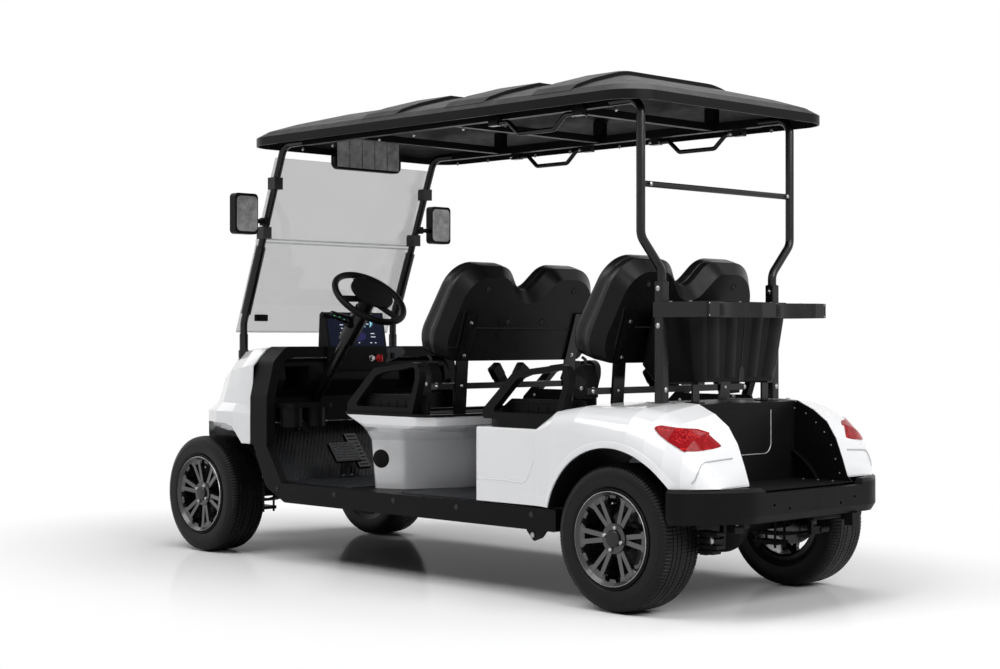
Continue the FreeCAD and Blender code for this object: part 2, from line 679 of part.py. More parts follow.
def steering_wheel():
    centre = V(STEER_X, STEER_Y, STEER_Z)
    axis = column_axis()
    ring = Part.makeTorus(STEER_R - STEER_RING_R, STEER_RING_R, centre, axis)
    boss = rod(centre - axis * 8, centre + axis * STEER_BOSS_L, 34)
    spokes = []
    for angle in (90.0, 210.0, 330.0):
        bar = Part.makeBox(STEER_R - STEER_RING_R, 30, 10, V(0, -15, -5))
        bar.rotate(V(0, 0, 0), V(0, 0, 1), angle)
        bar.rotate(V(0, 0, 0), V(0, 1, 0), -STEER_TILT)
        bar.translate(centre + axis * 4)
        spokes.append(bar)
    plate = Part.makeCylinder(96, 8, V(0, 0, 0), V(0, 0, 1))
    plate.rotate(V(0, 0, 0), V(0, 1, 0), -STEER_TILT)
    plate.translate(centre - axis * 22)
    neck = rod(centre - axis * 22, centre, 26)
    return [fused([ring, boss, plate, neck] + spokes)]


# ---- seat base, trays and backrests ---------------------------------------------------------------
POD_BACK_X = 1205.0
POD_FRONT_X = 1480.0
# Z, then (X, half-width, corner radius) at four corners from front to back; the last two rows are its lip
POD_TABLE = [
    (FLOOR_Z, (POD_FRONT_X, 395, 30), (1448, 432, 30), (1322, 388, 30), (POD_BACK_X, 120, 120)),
    (530, (1492, 405, 30), (1460, 442, 30), (1318, 395, 30), (POD_BACK_X, 120, 120)),
    (565, (1494, 430, 40), (1455, 470, 40), (1290, 440, 40), (1180, 260, 100)),
    (588, (1500, 450, 40), (1410, 526, 50), (1140, 526, 40), (1070, 440, 50)),
    (600, (1508, 455, 40), (1425, 535, 50), (1090, 536, 40), (1022, 478, 40)),
    (TRAY_TOP - TRAY_RIM, (1525, 515, 30), (1500, 540, 30), (1070, 540, 40), (1014, 484, 40)),
]


def pod_solid(inset):
    sections = []
    for k, (z, *left) in enumerate(POD_TABLE):
        shift = -1.0 if k == 0 else 1.0 if k == len(POD_TABLE) - 1 else 0.0
        rows = left + [(x, -y, radius) for x, y, radius in reversed(left)]
        sections.append((z + (shift if inset else 0.0), shrunk(rows, inset)))
    return loft_z(sections)


def front_pod():
    return [pod_solid(0.0).cut(pod_solid(PANEL_T))]


def tray_plan(x0, inset_x, inset_y, radius, z0, z1):
    half = TRAY_HALF - inset_y
    return prism_z(rounded(x0 + inset_x, x0 + TRAY_L - inset_x, -half, half, radius), z0, z1)


def seat_tray(x0, rim, corner):
    """Shallow tray with a standing wall at each end, where the seat cushion would rest."""
    x1 = x0 + TRAY_L
    z0, z1 = TRAY_TOP - TRAY_T, TRAY_TOP
    inset_x, inset_y = TRAY_INSET
    basin = tray_plan(x0, inset_x - TRAY_BASIN_T, inset_y - TRAY_BASIN_T, 65, z0, z1)
    pan = fused([tray_plan(x0, 0, 0, corner, z1 - rim, z1), basin])
    well = tray_plan(x0, inset_x, inset_y, 60, z0 + TRAY_FLOOR, z1 + 5)
    reach = TRAY_HALF - inset_y
    bar_z = z0 + TRAY_FLOOR + TRAY_BAR_R - 1.0
    bars = [rod(V(x0 + dx, -reach, bar_z), V(x0 + dx, reach, bar_z), TRAY_BAR_R)
            for dx in (TRAY_BAR, 2 * TRAY_BAR)]
    wall = prism_y([(x0 + 60, z1 - 1, 0), (x0 + 60, TRAY_WALL_TOP, 12), (x1 - 100, TRAY_WALL_TOP, 20),
                    (x1 - 30, z1 + 25, 10), (x1 - 30, z1 - 1, 0)], TRAY_WALL_Y - 12, TRAY_WALL_Y)
    body = fender_solid(0.0)
    return [fused([pan.cut(well)] + bars + pair(wall)).cut([body, mirrored(body)])]


def backrest_rows(side, top, valley, hump, turn, round_valley):
    """Front-view outline with two humps: half-width, heights and the inner corner of a hump."""
    left = [(side - 40, BACK_BOTTOM, 40), (side, BACK_BOTTOM + 80, 120), (side - 68, top, 130),
            (hump, top, turn)]
    return left + [(0, valley, round_valley)] + [(-y, z, r) for y, z, r in reversed(left)]


def backrest(base_x):
    """Shell with a bevelled rim and pad, leaned back about the shell's lower back edge."""
    face = backrest_rows(BACK_HALF - BACK_RIM, BACK_TOP - BACK_RIM, BACK_VALLEY - 48, 144, 70, 105)
    edge = backrest_rows(BACK_HALF, BACK_TOP, BACK_VALLEY, 112, 95, 74)
    shell = loft_x([(0, face), (SHELL_T, edge)])
    front = SHELL_T + PAD_T
    taper = prism_y([(front, BACK_BOTTOM, 0), (front + 1, BACK_BOTTOM, 0), (front + 1, BACK_TOP + 1, 0),
                     (front - PAD_TAPER, BACK_TOP + 1, 0)], -BACK_HALF, BACK_HALF)
    pad = prism_x(edge, SHELL_T + EPS, front).cut(taper)
    out = []
    for piece in (shell, pad):
        piece = at(piece, base_x, 0, 0)
        out.append(turned(piece, V(base_x, 0, BACK_BOTTOM), V(0, 1, 0), -BACK_LEAN))
    return out


BACK_RIM = 35.0                  # width of the shell's bevelled rim, seen from behind
POST_PLATE_W = 60.0
POST_PLATE_T = 10.0
POST_REACH = 190.0               # how far the posts run up the shell
SEAT_POST_Y = 308.0
BELT_BAR_Z = 752.0
BELT_BAR_HALF = 440.0
BELT_BAR = 24.0
BUCKLE_T = 32.0
BUCKLE_Y = 32.0
BUCKLE_LEAN = 35.0               # degrees from upright, outward


POST_FOOT_Z = TRAY_TOP - TRAY_T + TRAY_FLOOR


def seat_posts(base_x):
    """Pair of flat posts from the floor of the seat up the shell's back, with the belts' cross bar."""
    posts = []
    slope = math.tan(math.radians(BACK_LEAN))
    back, top_z = base_x - 0.5, BACK_BOTTOM + POST_REACH
    thick = POST_PLATE_T / math.cos(math.radians(BACK_LEAN))
    rows = [(back + 16, POST_FOOT_Z, 0), (back, BACK_BOTTOM, 0), (back - POST_REACH * slope, top_z, 0),
            (back - POST_REACH * slope - thick, top_z, 0), (back - thick, BACK_BOTTOM, 0),
            (back + 16 - thick, POST_FOOT_Z, 0)]
    for y in (-SEAT_POST_Y, SEAT_POST_Y):
        posts.append(prism_y(rows, y - POST_PLATE_W / 2.0, y + POST_PLATE_W / 2.0))
    x, half = base_x + 4, BELT_BAR / 2.0
    bar = box(x, x + BELT_BAR, -BELT_BAR_HALF, BELT_BAR_HALF, BELT_BAR_Z - half, BELT_BAR_Z + half)
    return [fused(posts + [bar])]


ARM_W = 34.0
ARM_GRIP = 20.0                  # depth of the top bar
ARM_FOOT = 24.0                  # depth of the bar along the tray


def armrest(x1, out):
    """Moulded loop beside a seat: x1 is its front foot and out its outer face; rows (x, z, radius)."""
    top = TRAY_TOP + 207.0
    rows = [(x1, TRAY_TOP, 12), (x1, TRAY_TOP + 35, 25), (x1 - 165, top - 30, 30), (x1 - 440, top, 42),
            (x1 - 440, top - 70, 60), (x1 - 395, TRAY_TOP, 0)]
    hole = [(x1 - 44, TRAY_TOP + ARM_FOOT, 10), (x1 - 178, top - 60, 40), (x1 - 230, top - 44, 20),
            (x1 - 330, top - 34, 20), (x1 - 412, top - ARM_GRIP, 16), (x1 - 412, top - 74, 40),
            (x1 - 372, TRAY_TOP + ARM_FOOT, 12)]
    loop = prism_y(rows, out - ARM_W, out)
    return loop.cut(prism_y(hole, out - ARM_W - 5, out + 5))


def belts():
    """Two buckles at the middle of each seat and a retractor near each end, on the cross bar."""
    out = []
    for base_x in (BACK_BASE_X, BACK_BASE_X + SEAT_PITCH):
        bar_x = base_x + 4 + BELT_BAR
        stalk = turned(box(EPS, BUCKLE_T, -22, 22, 0, 95), V(0, 0, 0), V(1, 0, 0), -BUCKLE_LEAN)
        out += pair(at(stalk, bar_x, BUCKLE_Y, BELT_BAR_Z))
        for y in (-410.0, 410.0):
            z = BELT_BAR_Z
            rows = [(bar_x + EPS, z - 24, 0), (bar_x + EPS, z + 48, 0), (bar_x + 28, z + 96, 8),
                    (bar_x + 62, z + 78, 8), (bar_x + 92, z + 18, 8), (bar_x + 58, z - 30, 8)]
            out.append(prism_y(rows, y - 27, y + 27))
    return out


# ---- rear body -----------------------------------------------------------------------------------
BODY_FRONT_X = REAR_TRAY_X + TRAY_L + 8
# X, half-width outside, Z of the top at its inner and outer edge, radius of the outer edge
FENDER_TABLE = [
    (BODY_FRONT_X, BODY_HALF, 615, 615, 8),
    (410, BODY_HALF, 615, 615, 8),
    (315, 580, 688, 684, 60),
    (200, 588, 712, 700, 90),
    (-40, FLARE_HALF, 716, 692, 135),
    (-119, 588, 712, 668, 160),
    (-191, 574, 680, 632, 160),
    (-250, 548, 638, 586, 140),
    (-289, 515, 580, 530, 110),
    (-318, 480, 506, 470, 60),
    (-338, 446, 447, 443, 3),
]
FENDER_BOTTOM = SILL_BOTTOM + SILL_H + 8.0


def fender_solid(inset):
    sections = []
    for x, half, top, outer_top, radius in FENDER_TABLE:
        station = x - inset if x == BODY_FRONT_X else x + inset if x < -300 else x
        low = FENDER_BOTTOM - inset
        rows = [(WELL_HALF - inset * 5, low, 0), (half - inset, low, 0),
                (half - inset, outer_top - inset, max(radius - inset, 1.0)),
                (WELL_HALF - inset * 5, top - inset, 0)]
        sections.append((station, rows))
    return loft_x(sections)


def rear_fender():
    shell = fender_solid(0.0).cut(fender_solid(PANEL_T))
    inner = WELL_HALF - 30
    arch = rod(V(REAR_AXLE, inner, AXLE_Z), V(REAR_AXLE, FLARE_HALF + 100, AXLE_Z), ARCH_R)
    under = box(REAR_X - 20, REAR_AXLE, inner, FLARE_HALF + 100, 0, BUMPER_TOP + EPS)
    return shell.cut([arch, under] + post_sockets())


def rear_deck():
    """Top panel between the fenders, from the rear seat's tray to the bag well."""
    inner = WELL_HALF - EPS
    top = box(WELL_FRONT_X, REAR_TRAY_X + 20, -inner, inner, DECK_Z - PANEL_T, DECK_Z)
    front = box(BODY_FRONT_X - PANEL_T, BODY_FRONT_X, -inner, inner, FENDER_BOTTOM, TRAY_TOP - TRAY_T)
    riser = box(REAR_TRAY_X + 20 - PANEL_T, REAR_TRAY_X + 20, -inner, inner, TRAY_TOP, DECK_Z)
    return [fused([top, riser]).cut(post_sockets()), front]


def bag_well():
    inner = WELL_HALF - EPS
    x0, x1 = REAR_X + 40, WELL_FRONT_X
    floor = box(x0, x1, -inner, inner, WELL_FLOOR_Z, WELL_FLOOR_Z + PANEL_T)
    wall = box(x1 - PANEL_T, x1, -inner, inner, WELL_FLOOR_Z, DECK_Z)
    rims = [(x, top - 2, 0) for x, half, top, outer_top, radius in FENDER_TABLE if x1 > x > x0]
    rows = [(x0, WELL_FLOOR_Z, 0), (x1, WELL_FLOOR_Z, 0), (x1, DECK_Z - 8, 0)] + rims
    side = prism_y(rows, inner - PANEL_T, inner)
    return [fused([floor, wall, side, mirrored(side)])]


BUMPER_END_X = -216.0
BUMPER_HOLES = ((150.0, 361.0), (236.0, 377.0))    # Y either side, Z
BUMPER_HOLE_R = 7.0


def bumper_rows(inset, ahead):
    """Outline of the wrap-around band seen from above, moved in by an inset, its ends moved ahead."""
    half = BUMPER_HALF - inset
    back = REAR_X + inset
    left = [(BUMPER_END_X + ahead, half, 0), (back + 143, half, 60 - inset),
            (back, 366 - 0.7 * inset, 150 - inset)]
    return left + [(x, -y, r) for x, y, r in reversed(left)]


BUMPER_BEVEL = 12.0              # bevel along the top edge
BUMPER_TUCK = 12.0               # how far the lower edge leans in
BUMPER_TUCK_H = 25.0


def rear_bumper():
    low = BUMPER_TOP - BUMPER_H
    levels = [(low, BUMPER_TUCK), (low + BUMPER_TUCK_H, 0.0), (BUMPER_TOP - BUMPER_BEVEL, 0.0),
              (BUMPER_TOP, BUMPER_BEVEL)]
    outside = loft_z([(z, bumper_rows(inset, 0.0)) for z, inset in levels])
    ring = outside.cut(prism_z(bumper_rows(BUMPER_WALL, 10.0), low - 5, BUMPER_TOP + 5))
    step = BUMPER_TOP - BUMPER_STEP
    dip = prism_x([(WELL_HALF + 12, BUMPER_TOP + 5, 0), (WELL_HALF - 10, step, 0), (10 - WELL_HALF, step, 0),
                   (-12 - WELL_HALF, BUMPER_TOP + 5, 0)], REAR_X - 10, REAR_X + 60)
    ring = ring.cut(dip)
    mounts = [box(REAR_X + BUMPER_WALL - 2, REAR_X + 62, s * RAIL_HALF - 25, s * RAIL_HALF + 25,
                  REAR_RAIL_Z + 4, step - 2) for s in (-1, 1)]
    holes = [rod(V(REAR_X - 5, s * y, z), V(REAR_X + BUMPER_WALL + 1, s * y, z), BUMPER_HOLE_R)
             for y, z in BUMPER_HOLES for s in (-1, 1)]
    return [fused([ring] + mounts).cut(holes)]


def tail_light():
    rows = [(-127, 643, 6), (-146, 648, 10), (-219, 636, 25), (-246, 622, 15), (-284, 572, 8),
            (-272, 564, 10), (-246, 564, 20), (-160, 617, 15)]
    lens = prism_y(rows, WELL_HALF + 20, FLARE_HALF + 20)
    skin = fender_solid(-3.0).cut(fender_solid(0.0))
    return lens.common(skin)


# ---- posts, roof and glass ----------------------------------------------------------------------------
def post_sockets():
    """Clearance around the rear posts' lower tubes, cut from the body panels."""
    half = LOWER_TUBE / 2.0 + EPS
    x, y = REAR_POST_X, REAR_FOOT_HALF
    return pair(box(x - half, x + half, y - half, y + half, 300, 900))


def rear_posts():
    x, out, foot = REAR_POST_X, REAR_POST_HALF, REAR_FOOT_HALF
    rail_z = ROOF_BOTTOM + 18
    upper = tube([V(x, foot, REAR_FOOT_Z + 300), V(x, foot, ELBOW_LOW_Z), V(x, out, ELBOW_HIGH_Z),
                  V(x, out, rail_z), V(x + POST_RUN, out, rail_z)], POST_R, BEND_R * 0.75)
    half = LOWER_TUBE / 2.0
    plan = rounded(x - half, x + half, foot - half, foot + half, 5)
    lower = prism_z(plan, REAR_RAIL_Z + RAIL_H, LOWER_TUBE_TOP)
    plate = box(x - 40, x + 40, RAIL_HALF - RAIL_W / 2.0, foot + half, REAR_RAIL_Z + RAIL_H,
                REAR_RAIL_Z + RAIL_H + 8)
    left = fused([upper, lower, plate])
    bar = rod(V(x, -out, CROSSBAR_Z), V(x, out, CROSSBAR_Z), 11)
    return [fused([left, mirrored(left), bar])]


def post_line(z):
    """X of the leaning part of a front post at height z."""
    slope = (FRONT_FOOT_X - FRONT_TOP_X) / (ROOF_BOTTOM + 18 - FRONT_KNEE_Z)
    return FRONT_FOOT_X - (z - FRONT_KNEE_Z) * slope


def front_posts():
    y = FRONT_POST_HALF
    rail_z = ROOF_BOTTOM + 18
    post = tube([V(FRONT_FOOT_X, y, FRONT_FOOT_BASE), V(FRONT_FOOT_X, y, FRONT_KNEE_Z),
                 V(FRONT_TOP_X, y, rail_z), V(FRONT_TOP_X - POST_RUN, y, rail_z)], POST_R, BEND_R)
    sleeve = rod(V(post_line(1050), y, 1050), V(post_line(1340), y, 1340), SLEEVE_R)
    lower = rod(V(FRONT_FOOT_X, y, FRONT_FOOT_BASE), V(FRONT_FOOT_X, y, 960), POST_R + 3)
    clips = [box(post_line(z) - 24, post_line(z) + 26, y - 22, y + 22, z - 26, z + 26) for z in (1610, 1400)]
    rail_top = FRONT_RAIL_Z + RAIL_H
    x0, x1 = FRONT_FOOT_X - 30, FRONT_FOOT_X + 30
    arm = box(x0, x1, RAIL_HALF - 12, y + 26, FRONT_FOOT_BASE, FRONT_FOOT_BASE + 12)
    leg = box(x0, x1, RAIL_HALF - 12, RAIL_HALF, rail_top, FRONT_FOOT_BASE)
    bezel = rod(V(FRONT_FOOT_X, y, FRONT_FOOT_Z - 12), V(FRONT_FOOT_X, y, FRONT_FOOT_Z + 22), 23.5)
    whole = fused([post, sleeve, lower, arm, leg, bezel] + clips)
    return pair(whole.cut(windshield()[0]))


def roof_rows(inset):
    return rounded(ROOF_REAR_X + inset, ROOF_REAR_X + ROOF_L - inset, -ROOF_HALF + inset,
                   ROOF_HALF - inset, max(ROOF_CORNER - inset * 0.3, 40))


def roof_solid(inset, lift):
    """Band and dome; rows of inset from the edge and rise above the band."""
    base = ROOF_BOTTOM - (1 if inset else 0)
    band = ROOF_BOTTOM + ROOF_BAND + lift
    levels = [(0, base), (0, band), (38, band + 26), (130, band + 58), (300, band + ROOF_RISE - 12)]
    return loft_z([(z, roof_rows(extra + inset)) for extra, z in levels])


ROOF_RIBS = ((246, 442), (690, 905), (1187, 1389))


def roof_canopy():
    shell = roof_solid(0.0, 0.0)
    raised = roof_solid(30.0, RIB_RISE + 10)
    ribs = [raised.common(box(x0, x1, -ROOF_HALF, ROOF_HALF, ROOF_BOTTOM + ROOF_BAND, 2100))
            for x0, x1 in ROOF_RIBS]
    skin = fused([shell] + ribs)
    return [skin.cut(roof_solid(ROOF_T, -ROOF_T))]


RAIL_IN = 415.0
RAIL_OUT = 447.0
ROOF_BOWS = (400.0, 1000.0, 1600.0)


def roof_rails():
    """Rails that carry the canopy, one each side, with bows between them."""
    z0, z1 = ROOF_BOTTOM + 2, ROOF_BOTTOM + 34
    rail = box(REAR_POST_X + POST_RUN, FRONT_TOP_X - POST_RUN, RAIL_IN, RAIL_OUT, z0, z1)
    under_dome = roof_solid(ROOF_T + EPS, -ROOF_T - EPS)
    bows, pads = [], []
    for x in ROOF_BOWS:
        bows.append(box(x - 15, x + 15, -RAIL_IN, RAIL_IN, z0 + 4, z1))
        pads += pair(box(x - 25, x + 25, RAIL_IN, RAIL_OUT, z1, z1 + 200).common(under_dome))
    return [fused(pair(rail) + bows + pads)]


def grab_handles():
    out = []
    z = ROOF_BOTTOM + 2
    for x0, x1, side in ((286, 717, 1), (286, 717, -1), (1096, 1527, -1)):
        y = side * (RAIL_OUT + 14)
        bar = tube([V(x0, y, z - 14), V(x0 + 70, y, z - 14), V(x0 + 125, y, z - 62), V(x1 - 125, y, z - 62),
                    V(x1 - 70, y, z - 14), V(x1, y, z - 14)], 9, 22)
        feet = [box(x - 24, x + 24, y - 14, y + 14, z - 24, z + 26) for x in (x0, x1)]
        out.append(fused([bar] + feet))
    return out


def glass_panel(z0, z1, x_shift):
    lean = math.atan2(post_line(z0) - post_line(z1), z1 - z0)
    thick = GLASS_T / math.cos(lean)
    ahead = GLASS_AHEAD + x_shift
    rows = [(post_line(z0) + ahead, z0, 0), (post_line(z0) + ahead + thick, z0, 0),
            (post_line(z1) + ahead + thick, z1, 0), (post_line(z1) + ahead, z1, 0)]
    return prism_y(rows, -GLASS_HALF, GLASS_HALF)


def windshield():
    lower = glass_panel(GLASS_BOTTOM, GLASS_SPLIT - 4, 0)
    upper = glass_panel(GLASS_SPLIT + 4, GLASS_TOP, 0)
    x = post_line(GLASS_SPLIT) + GLASS_AHEAD
    hinge = box(x - 4, x + 10, -GLASS_HALF, GLASS_HALF, GLASS_SPLIT - 8, GLASS_SPLIT + 8)
    return [fused([lower, upper, hinge])]


def side_mirror():
    z = 1448.0
    x = post_line(z) - 22.0
    arm = rod(V(x + 20, FRONT_POST_HALF, z), V(x + 12, FRONT_POST_HALF + 75, z), 10)
    y0, y1 = FRONT_POST_HALF + 70, FRONT_POST_HALF + 190
    head = prism_x([(y0, z - 60, 18), (y1, z - 60, 18), (y1, z + 115, 18), (y0, z + 115, 18)],
                   x - 10, x + 30)
    clamp = box(x, x + 40, FRONT_POST_HALF, FRONT_POST_HALF + 26, z - 16, z + 16)
    return fused([arm, head, clamp]).cut(front_posts()[0])


def cabin_mirror():
    x = FRONT_TOP_X - 20
    head = prism_x([(-190, ROOF_BOTTOM - 72, 30), (190, ROOF_BOTTOM - 72, 30), (190, ROOF_BOTTOM, 20),
                    (-190, ROOF_BOTTOM, 20)], x - 25, x + 5)
    stem = box(x - 5, x + 20, -25, 25, ROOF_BOTTOM - 30, ROOF_BOTTOM + 200)
    below = box(x - 5, x + 20, -25, 25, 0, ROOF_BOTTOM + 20)
    stem = stem.common(roof_solid(ROOF_T + EPS, -ROOF_T - EPS).fuse(below))
    return [fused([head, stem])]


# ---- rear basket and bag rack ----------------------------------------------------------------------------
RACK_HALF = REAR_FOOT_HALF
RACK_REACH = 205.0
RACK_BOTTOM = 1014.0
RACK_TOP = 1068.0
RACK_T = 5.0
SCALLOP_Y = 160.0
SCALLOP_R = 165.0
SCALLOP_DEPTH = 52.0
# Z, X back, X front, half-width, corner radius
BASKET_TABLE = [(785, -70, 160, 220, 30), (845, -76, 200, 236, 30), (1072, -98, 115, 272, 40)]


def basket_solid(inset):
    sections = []
    for z, x0, x1, half, radius in BASKET_TABLE:
        lift = inset if z == BASKET_TABLE[0][0] else 1.0 if inset and z == BASKET_TABLE[-1][0] else 0.0
        plan = rounded(x0 + inset, x1 - inset, -half + inset, half - inset, radius - inset)
        sections.append((z + lift, plan))
    return loft_z(sections)


def rear_basket():
    return [basket_solid(0.0).cut(basket_solid(PANEL_T))]


def basket_brackets():
    """Flat bars from the deck to the basket's back, bent under its floor."""
    out = []
    z, x0, x1 = BASKET_TABLE[0][0], BASKET_TABLE[0][1], BASKET_TABLE[0][2]
    for y in (-200.0, 200.0):
        foot = box(x0 + 10, x0 + 70, y - 18, y + 18, DECK_Z, DECK_Z + 6)
        leg = box(x0 + 34, x0 + 42, y - 18, y + 18, DECK_Z, z)
        arm = box(x0 + 10, x1 - 30, y - 18, y + 18, z - 8, z)
        out.append(fused([foot, leg, arm]))
    return out


def rack_solid(inset):
    """Frame's plan, filled: straight arms and a rear bar with a hollow for each bag."""
    front, out = REAR_POST_X + LOWER_TUBE / 2.0, RACK_HALF + LOWER_TUBE / 2.0 + RACK_T - inset
    plan = prism_z([(front, out, 0), (-RACK_REACH + inset, out, 12), (-RACK_REACH + inset, -out, 12),
                    (front, -out, 0)], RACK_BOTTOM - inset, RACK_TOP + inset)
    for y in (-SCALLOP_Y, SCALLOP_Y):
        x = -RACK_REACH + SCALLOP_DEPTH - SCALLOP_R
        plan = plan.cut(rod(V(x, y, 0), V(x, y, 2000), SCALLOP_R + inset))
    return plan


def bag_rack():
    return [rack_solid(0.0).cut(rack_solid(RACK_T))]


# ---- assembly ---------------------------------------------------------------------------------------------
def build():
    front_tray_x = REAR_TRAY_X + SEAT_PITCH
    body = fender_solid(0.0)
    rear_arm = armrest(BODY_FRONT_X - 12, TRAY_HALF).cut(body)
    rear_shell, rear_pad = backrest(BACK_BASE_X)
    front_shell, front_pad = backrest(BACK_BASE_X + SEAT_PITCH)
    fender = rear_fender()
    nodes = {
        "chassis_frame": chassis_frame(),
        "battery_pack": battery_pack(),
        "floor_pan": floor_pan(),
        "floor_mat": floor_mat(),
        "side_sills": side_sills(),
        "front_cowl": front_cowl(),
        "cowl_frame": cowl_frame(),
        "dashboard": dashboard(),
        "display_unit": display_unit(),
        "cup_holder": cup_holder(),
        "front_bumper": front_bumper(),
        "headlights": headlights(),
        "pedals": pedals(),
        "steering_column": steering_column(),
        "steering_wheel": steering_wheel(),
        "front_pod": front_pod(),
        "front_seat_tray": seat_tray(front_tray_x, TRAY_RIM, 50),
        "rear_seat_tray": seat_tray(REAR_TRAY_X, TRAY_T, 90),
        "front_backrest_shell": [front_shell],
        "front_backrest_pad": [front_pad],
        "rear_backrest_shell": [rear_shell],
        "rear_backrest_pad": [rear_pad],
        "front_seat_posts": seat_posts(BACK_BASE_X + SEAT_PITCH),
        "rear_seat_posts": [seat_posts(BACK_BASE_X)[0].cut([body, mirrored(body)])],
        "front_armrests": pair(armrest(front_tray_x + TRAY_L - 20, TRAY_HALF - 20)),
        "rear_armrests": pair(rear_arm),
        "seat_belts": belts(),
        "rear_fender_left": [fender],
        "rear_fender_right": [mirrored(fender)],
        "rear_deck": rear_deck(),
        "bag_well": bag_well(),
        "rear_bumper": rear_bumper(),
        "tail_lights": pair(tail_light()),
        "rear_posts": rear_posts(),
        "front_posts": front_posts(),
        "roof_canopy": roof_canopy(),
        "roof_rails": roof_rails(),
        "grab_handles": grab_handles(),
        "windshield": windshield(),
        "side_mirrors": pair(side_mirror()),
        "cabin_mirror": cabin_mirror(),
        "rear_basket": rear_basket(),
        "basket_brackets": basket_brackets(),
        "bag_rack": bag_rack(),
        "rear_axle": rear_axle(),
        "rear_suspension": rear_suspension(),
        "front_axle": front_axle(),
        "front_suspension": front_suspension(),
    }
    nodes.update(knuckles())
    nodes.update(wheels())
    return nodes


def write(nodes):
    os.makedirs("parts", exist_ok=True)
    for name, solids in nodes.items():
        shape = solids[0] if len(solids) == 1 else Part.makeCompound(solids)
        shape = at(shape, DATUM_X, 0, 0)
        shape.exportStep("parts/%s.step" % name)


write(build())
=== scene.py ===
import json
import math

import bpy
from mathutils import Euler, Matrix, Vector
from mathutils.bvhtree import BVHTree


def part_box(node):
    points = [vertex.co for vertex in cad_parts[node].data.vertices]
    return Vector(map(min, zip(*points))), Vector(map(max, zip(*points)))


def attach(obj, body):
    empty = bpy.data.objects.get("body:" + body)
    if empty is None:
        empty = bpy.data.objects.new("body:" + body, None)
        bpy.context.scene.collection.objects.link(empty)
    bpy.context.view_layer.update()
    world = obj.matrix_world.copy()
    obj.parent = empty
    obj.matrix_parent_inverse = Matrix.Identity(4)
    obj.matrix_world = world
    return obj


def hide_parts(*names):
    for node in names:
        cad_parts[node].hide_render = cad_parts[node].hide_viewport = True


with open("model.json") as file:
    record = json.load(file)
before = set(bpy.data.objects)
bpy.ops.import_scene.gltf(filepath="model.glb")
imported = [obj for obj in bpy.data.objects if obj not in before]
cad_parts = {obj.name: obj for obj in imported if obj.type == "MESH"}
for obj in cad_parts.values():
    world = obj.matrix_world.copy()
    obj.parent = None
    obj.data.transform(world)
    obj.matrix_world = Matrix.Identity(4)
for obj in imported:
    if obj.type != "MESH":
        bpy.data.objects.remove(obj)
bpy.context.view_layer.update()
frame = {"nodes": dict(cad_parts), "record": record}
NODES = frame["nodes"]

SCENE = bpy.context.scene
SCENE.view_settings.view_transform = "Standard"
CHASSIS = "chassis"


# ---- the frame's own places, in metres ----
REAR_AXLE = 36.0                       # station of the rear axle, and height of the axles, in millimetres
AXLE_Z = 254.0


def centre(node):
    low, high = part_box(node)
    return (low + high) / 2.0


def flank(node, side):
    """Y of a node's left or right end."""
    low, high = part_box(node)
    return high.y if side > 0 else low.y


REAR_AXLE_X = centre("tyre_rear_left").x
FRONT_AXLE_X = centre("tyre_front_left").x
DATUM_X = REAR_AXLE_X - REAR_AXLE / 1000     # stations are measured ahead of this plane, as in the CAD


# ---- materials ----
LOOK = {}                              # materials by the name they are asked for, which is often a slot's


class Nodes:
    """Short way to write a material's node tree."""

    def __init__(self, name):
        self.material = LOOK[name] = bpy.data.materials.new(name)
        self.material.use_nodes = True
        self.tree = self.material.node_tree
        self.shader = self.tree.nodes["Principled BSDF"]
        self.coords = self.add("ShaderNodeTexCoord")

    def add(self, kind, values=None, **settings):
        node = self.tree.nodes.new(kind)
        for key, value in settings.items():
            setattr(node, key, value)
        self.put(node, values or {})
        return node

    def put(self, node, values):
        for socket, value in values.items():
            node.inputs[socket].default_value = value

    def join(self, source, output, target, entry):
        self.tree.links.new(source.outputs[output], target.inputs[entry])

    def mapped(self, values):
        """Object coordinates through a mapping."""
        node = self.add("ShaderNodeMapping", values)
        self.join(self.coords, "Object", node, "Vector")
        return node

    def split(self, output):
        """X, Y and Z of one of the surface's coordinates."""
        node = self.add("ShaderNodeSeparateXYZ")
        self.join(self.coords, output, node, "Vector")
        return node

    def noise(self, scale, detail=4.0, rough=0.55, stretch=None):
        node = self.add("ShaderNodeTexNoise", {"Scale": scale, "Detail": detail, "Roughness": rough})
        if stretch is None:
            self.join(self.coords, "Object", node, "Vector")
        else:
            self.join(self.mapped({"Scale": stretch}), "Vector", node, "Vector")
        return node

    def span(self, source, output, low, high, start=0.3, end=0.7):
        node = self.add("ShaderNodeMapRange", {"From Min": start, "From Max": end, "To Min": low, "To Max": high})
        self.join(source, output, node, "Value")
        return node

    def blend(self, factor, output, first, second):
        node = self.add("ShaderNodeMix", {6: (*first, 1.0), 7: (*second, 1.0)}, data_type="RGBA")
        self.join(factor, output, node, "Factor")
        return node

    def bump(self, source, output, strength, distance, shader=None):
        """Relief on the material's own shader, or on another."""
        node = self.add("ShaderNodeBump", {"Strength": strength, "Distance": distance})
        self.join(source, output, node, "Height")
        self.join(node, "Normal", shader or self.shader, "Normal")

    def math(self, kind, *values):
        """Math node; each value is a number, a node, or a node with the name of its output."""
        node = self.add("ShaderNodeMath", operation=kind)
        for slot, value in enumerate(values):
            if isinstance(value, tuple):
                self.join(*value, node, slot)
            elif isinstance(value, bpy.types.Node):
                self.join(value, 0, node, slot)
            else:
                node.inputs[slot].default_value = value
        return node

    def mixed(self, factor, second):
        """The material shows a mix of its own shader and a second one."""
        node = self.add("ShaderNodeMixShader")
        for slot, source in enumerate((factor, self.shader, second)):
            self.join(source, 0, node, slot)
        self.join(node, 0, self.tree.nodes["Material Output"], "Surface")


def shade(color, factor):
    return tuple(min(1.0, c * factor) for c in color)


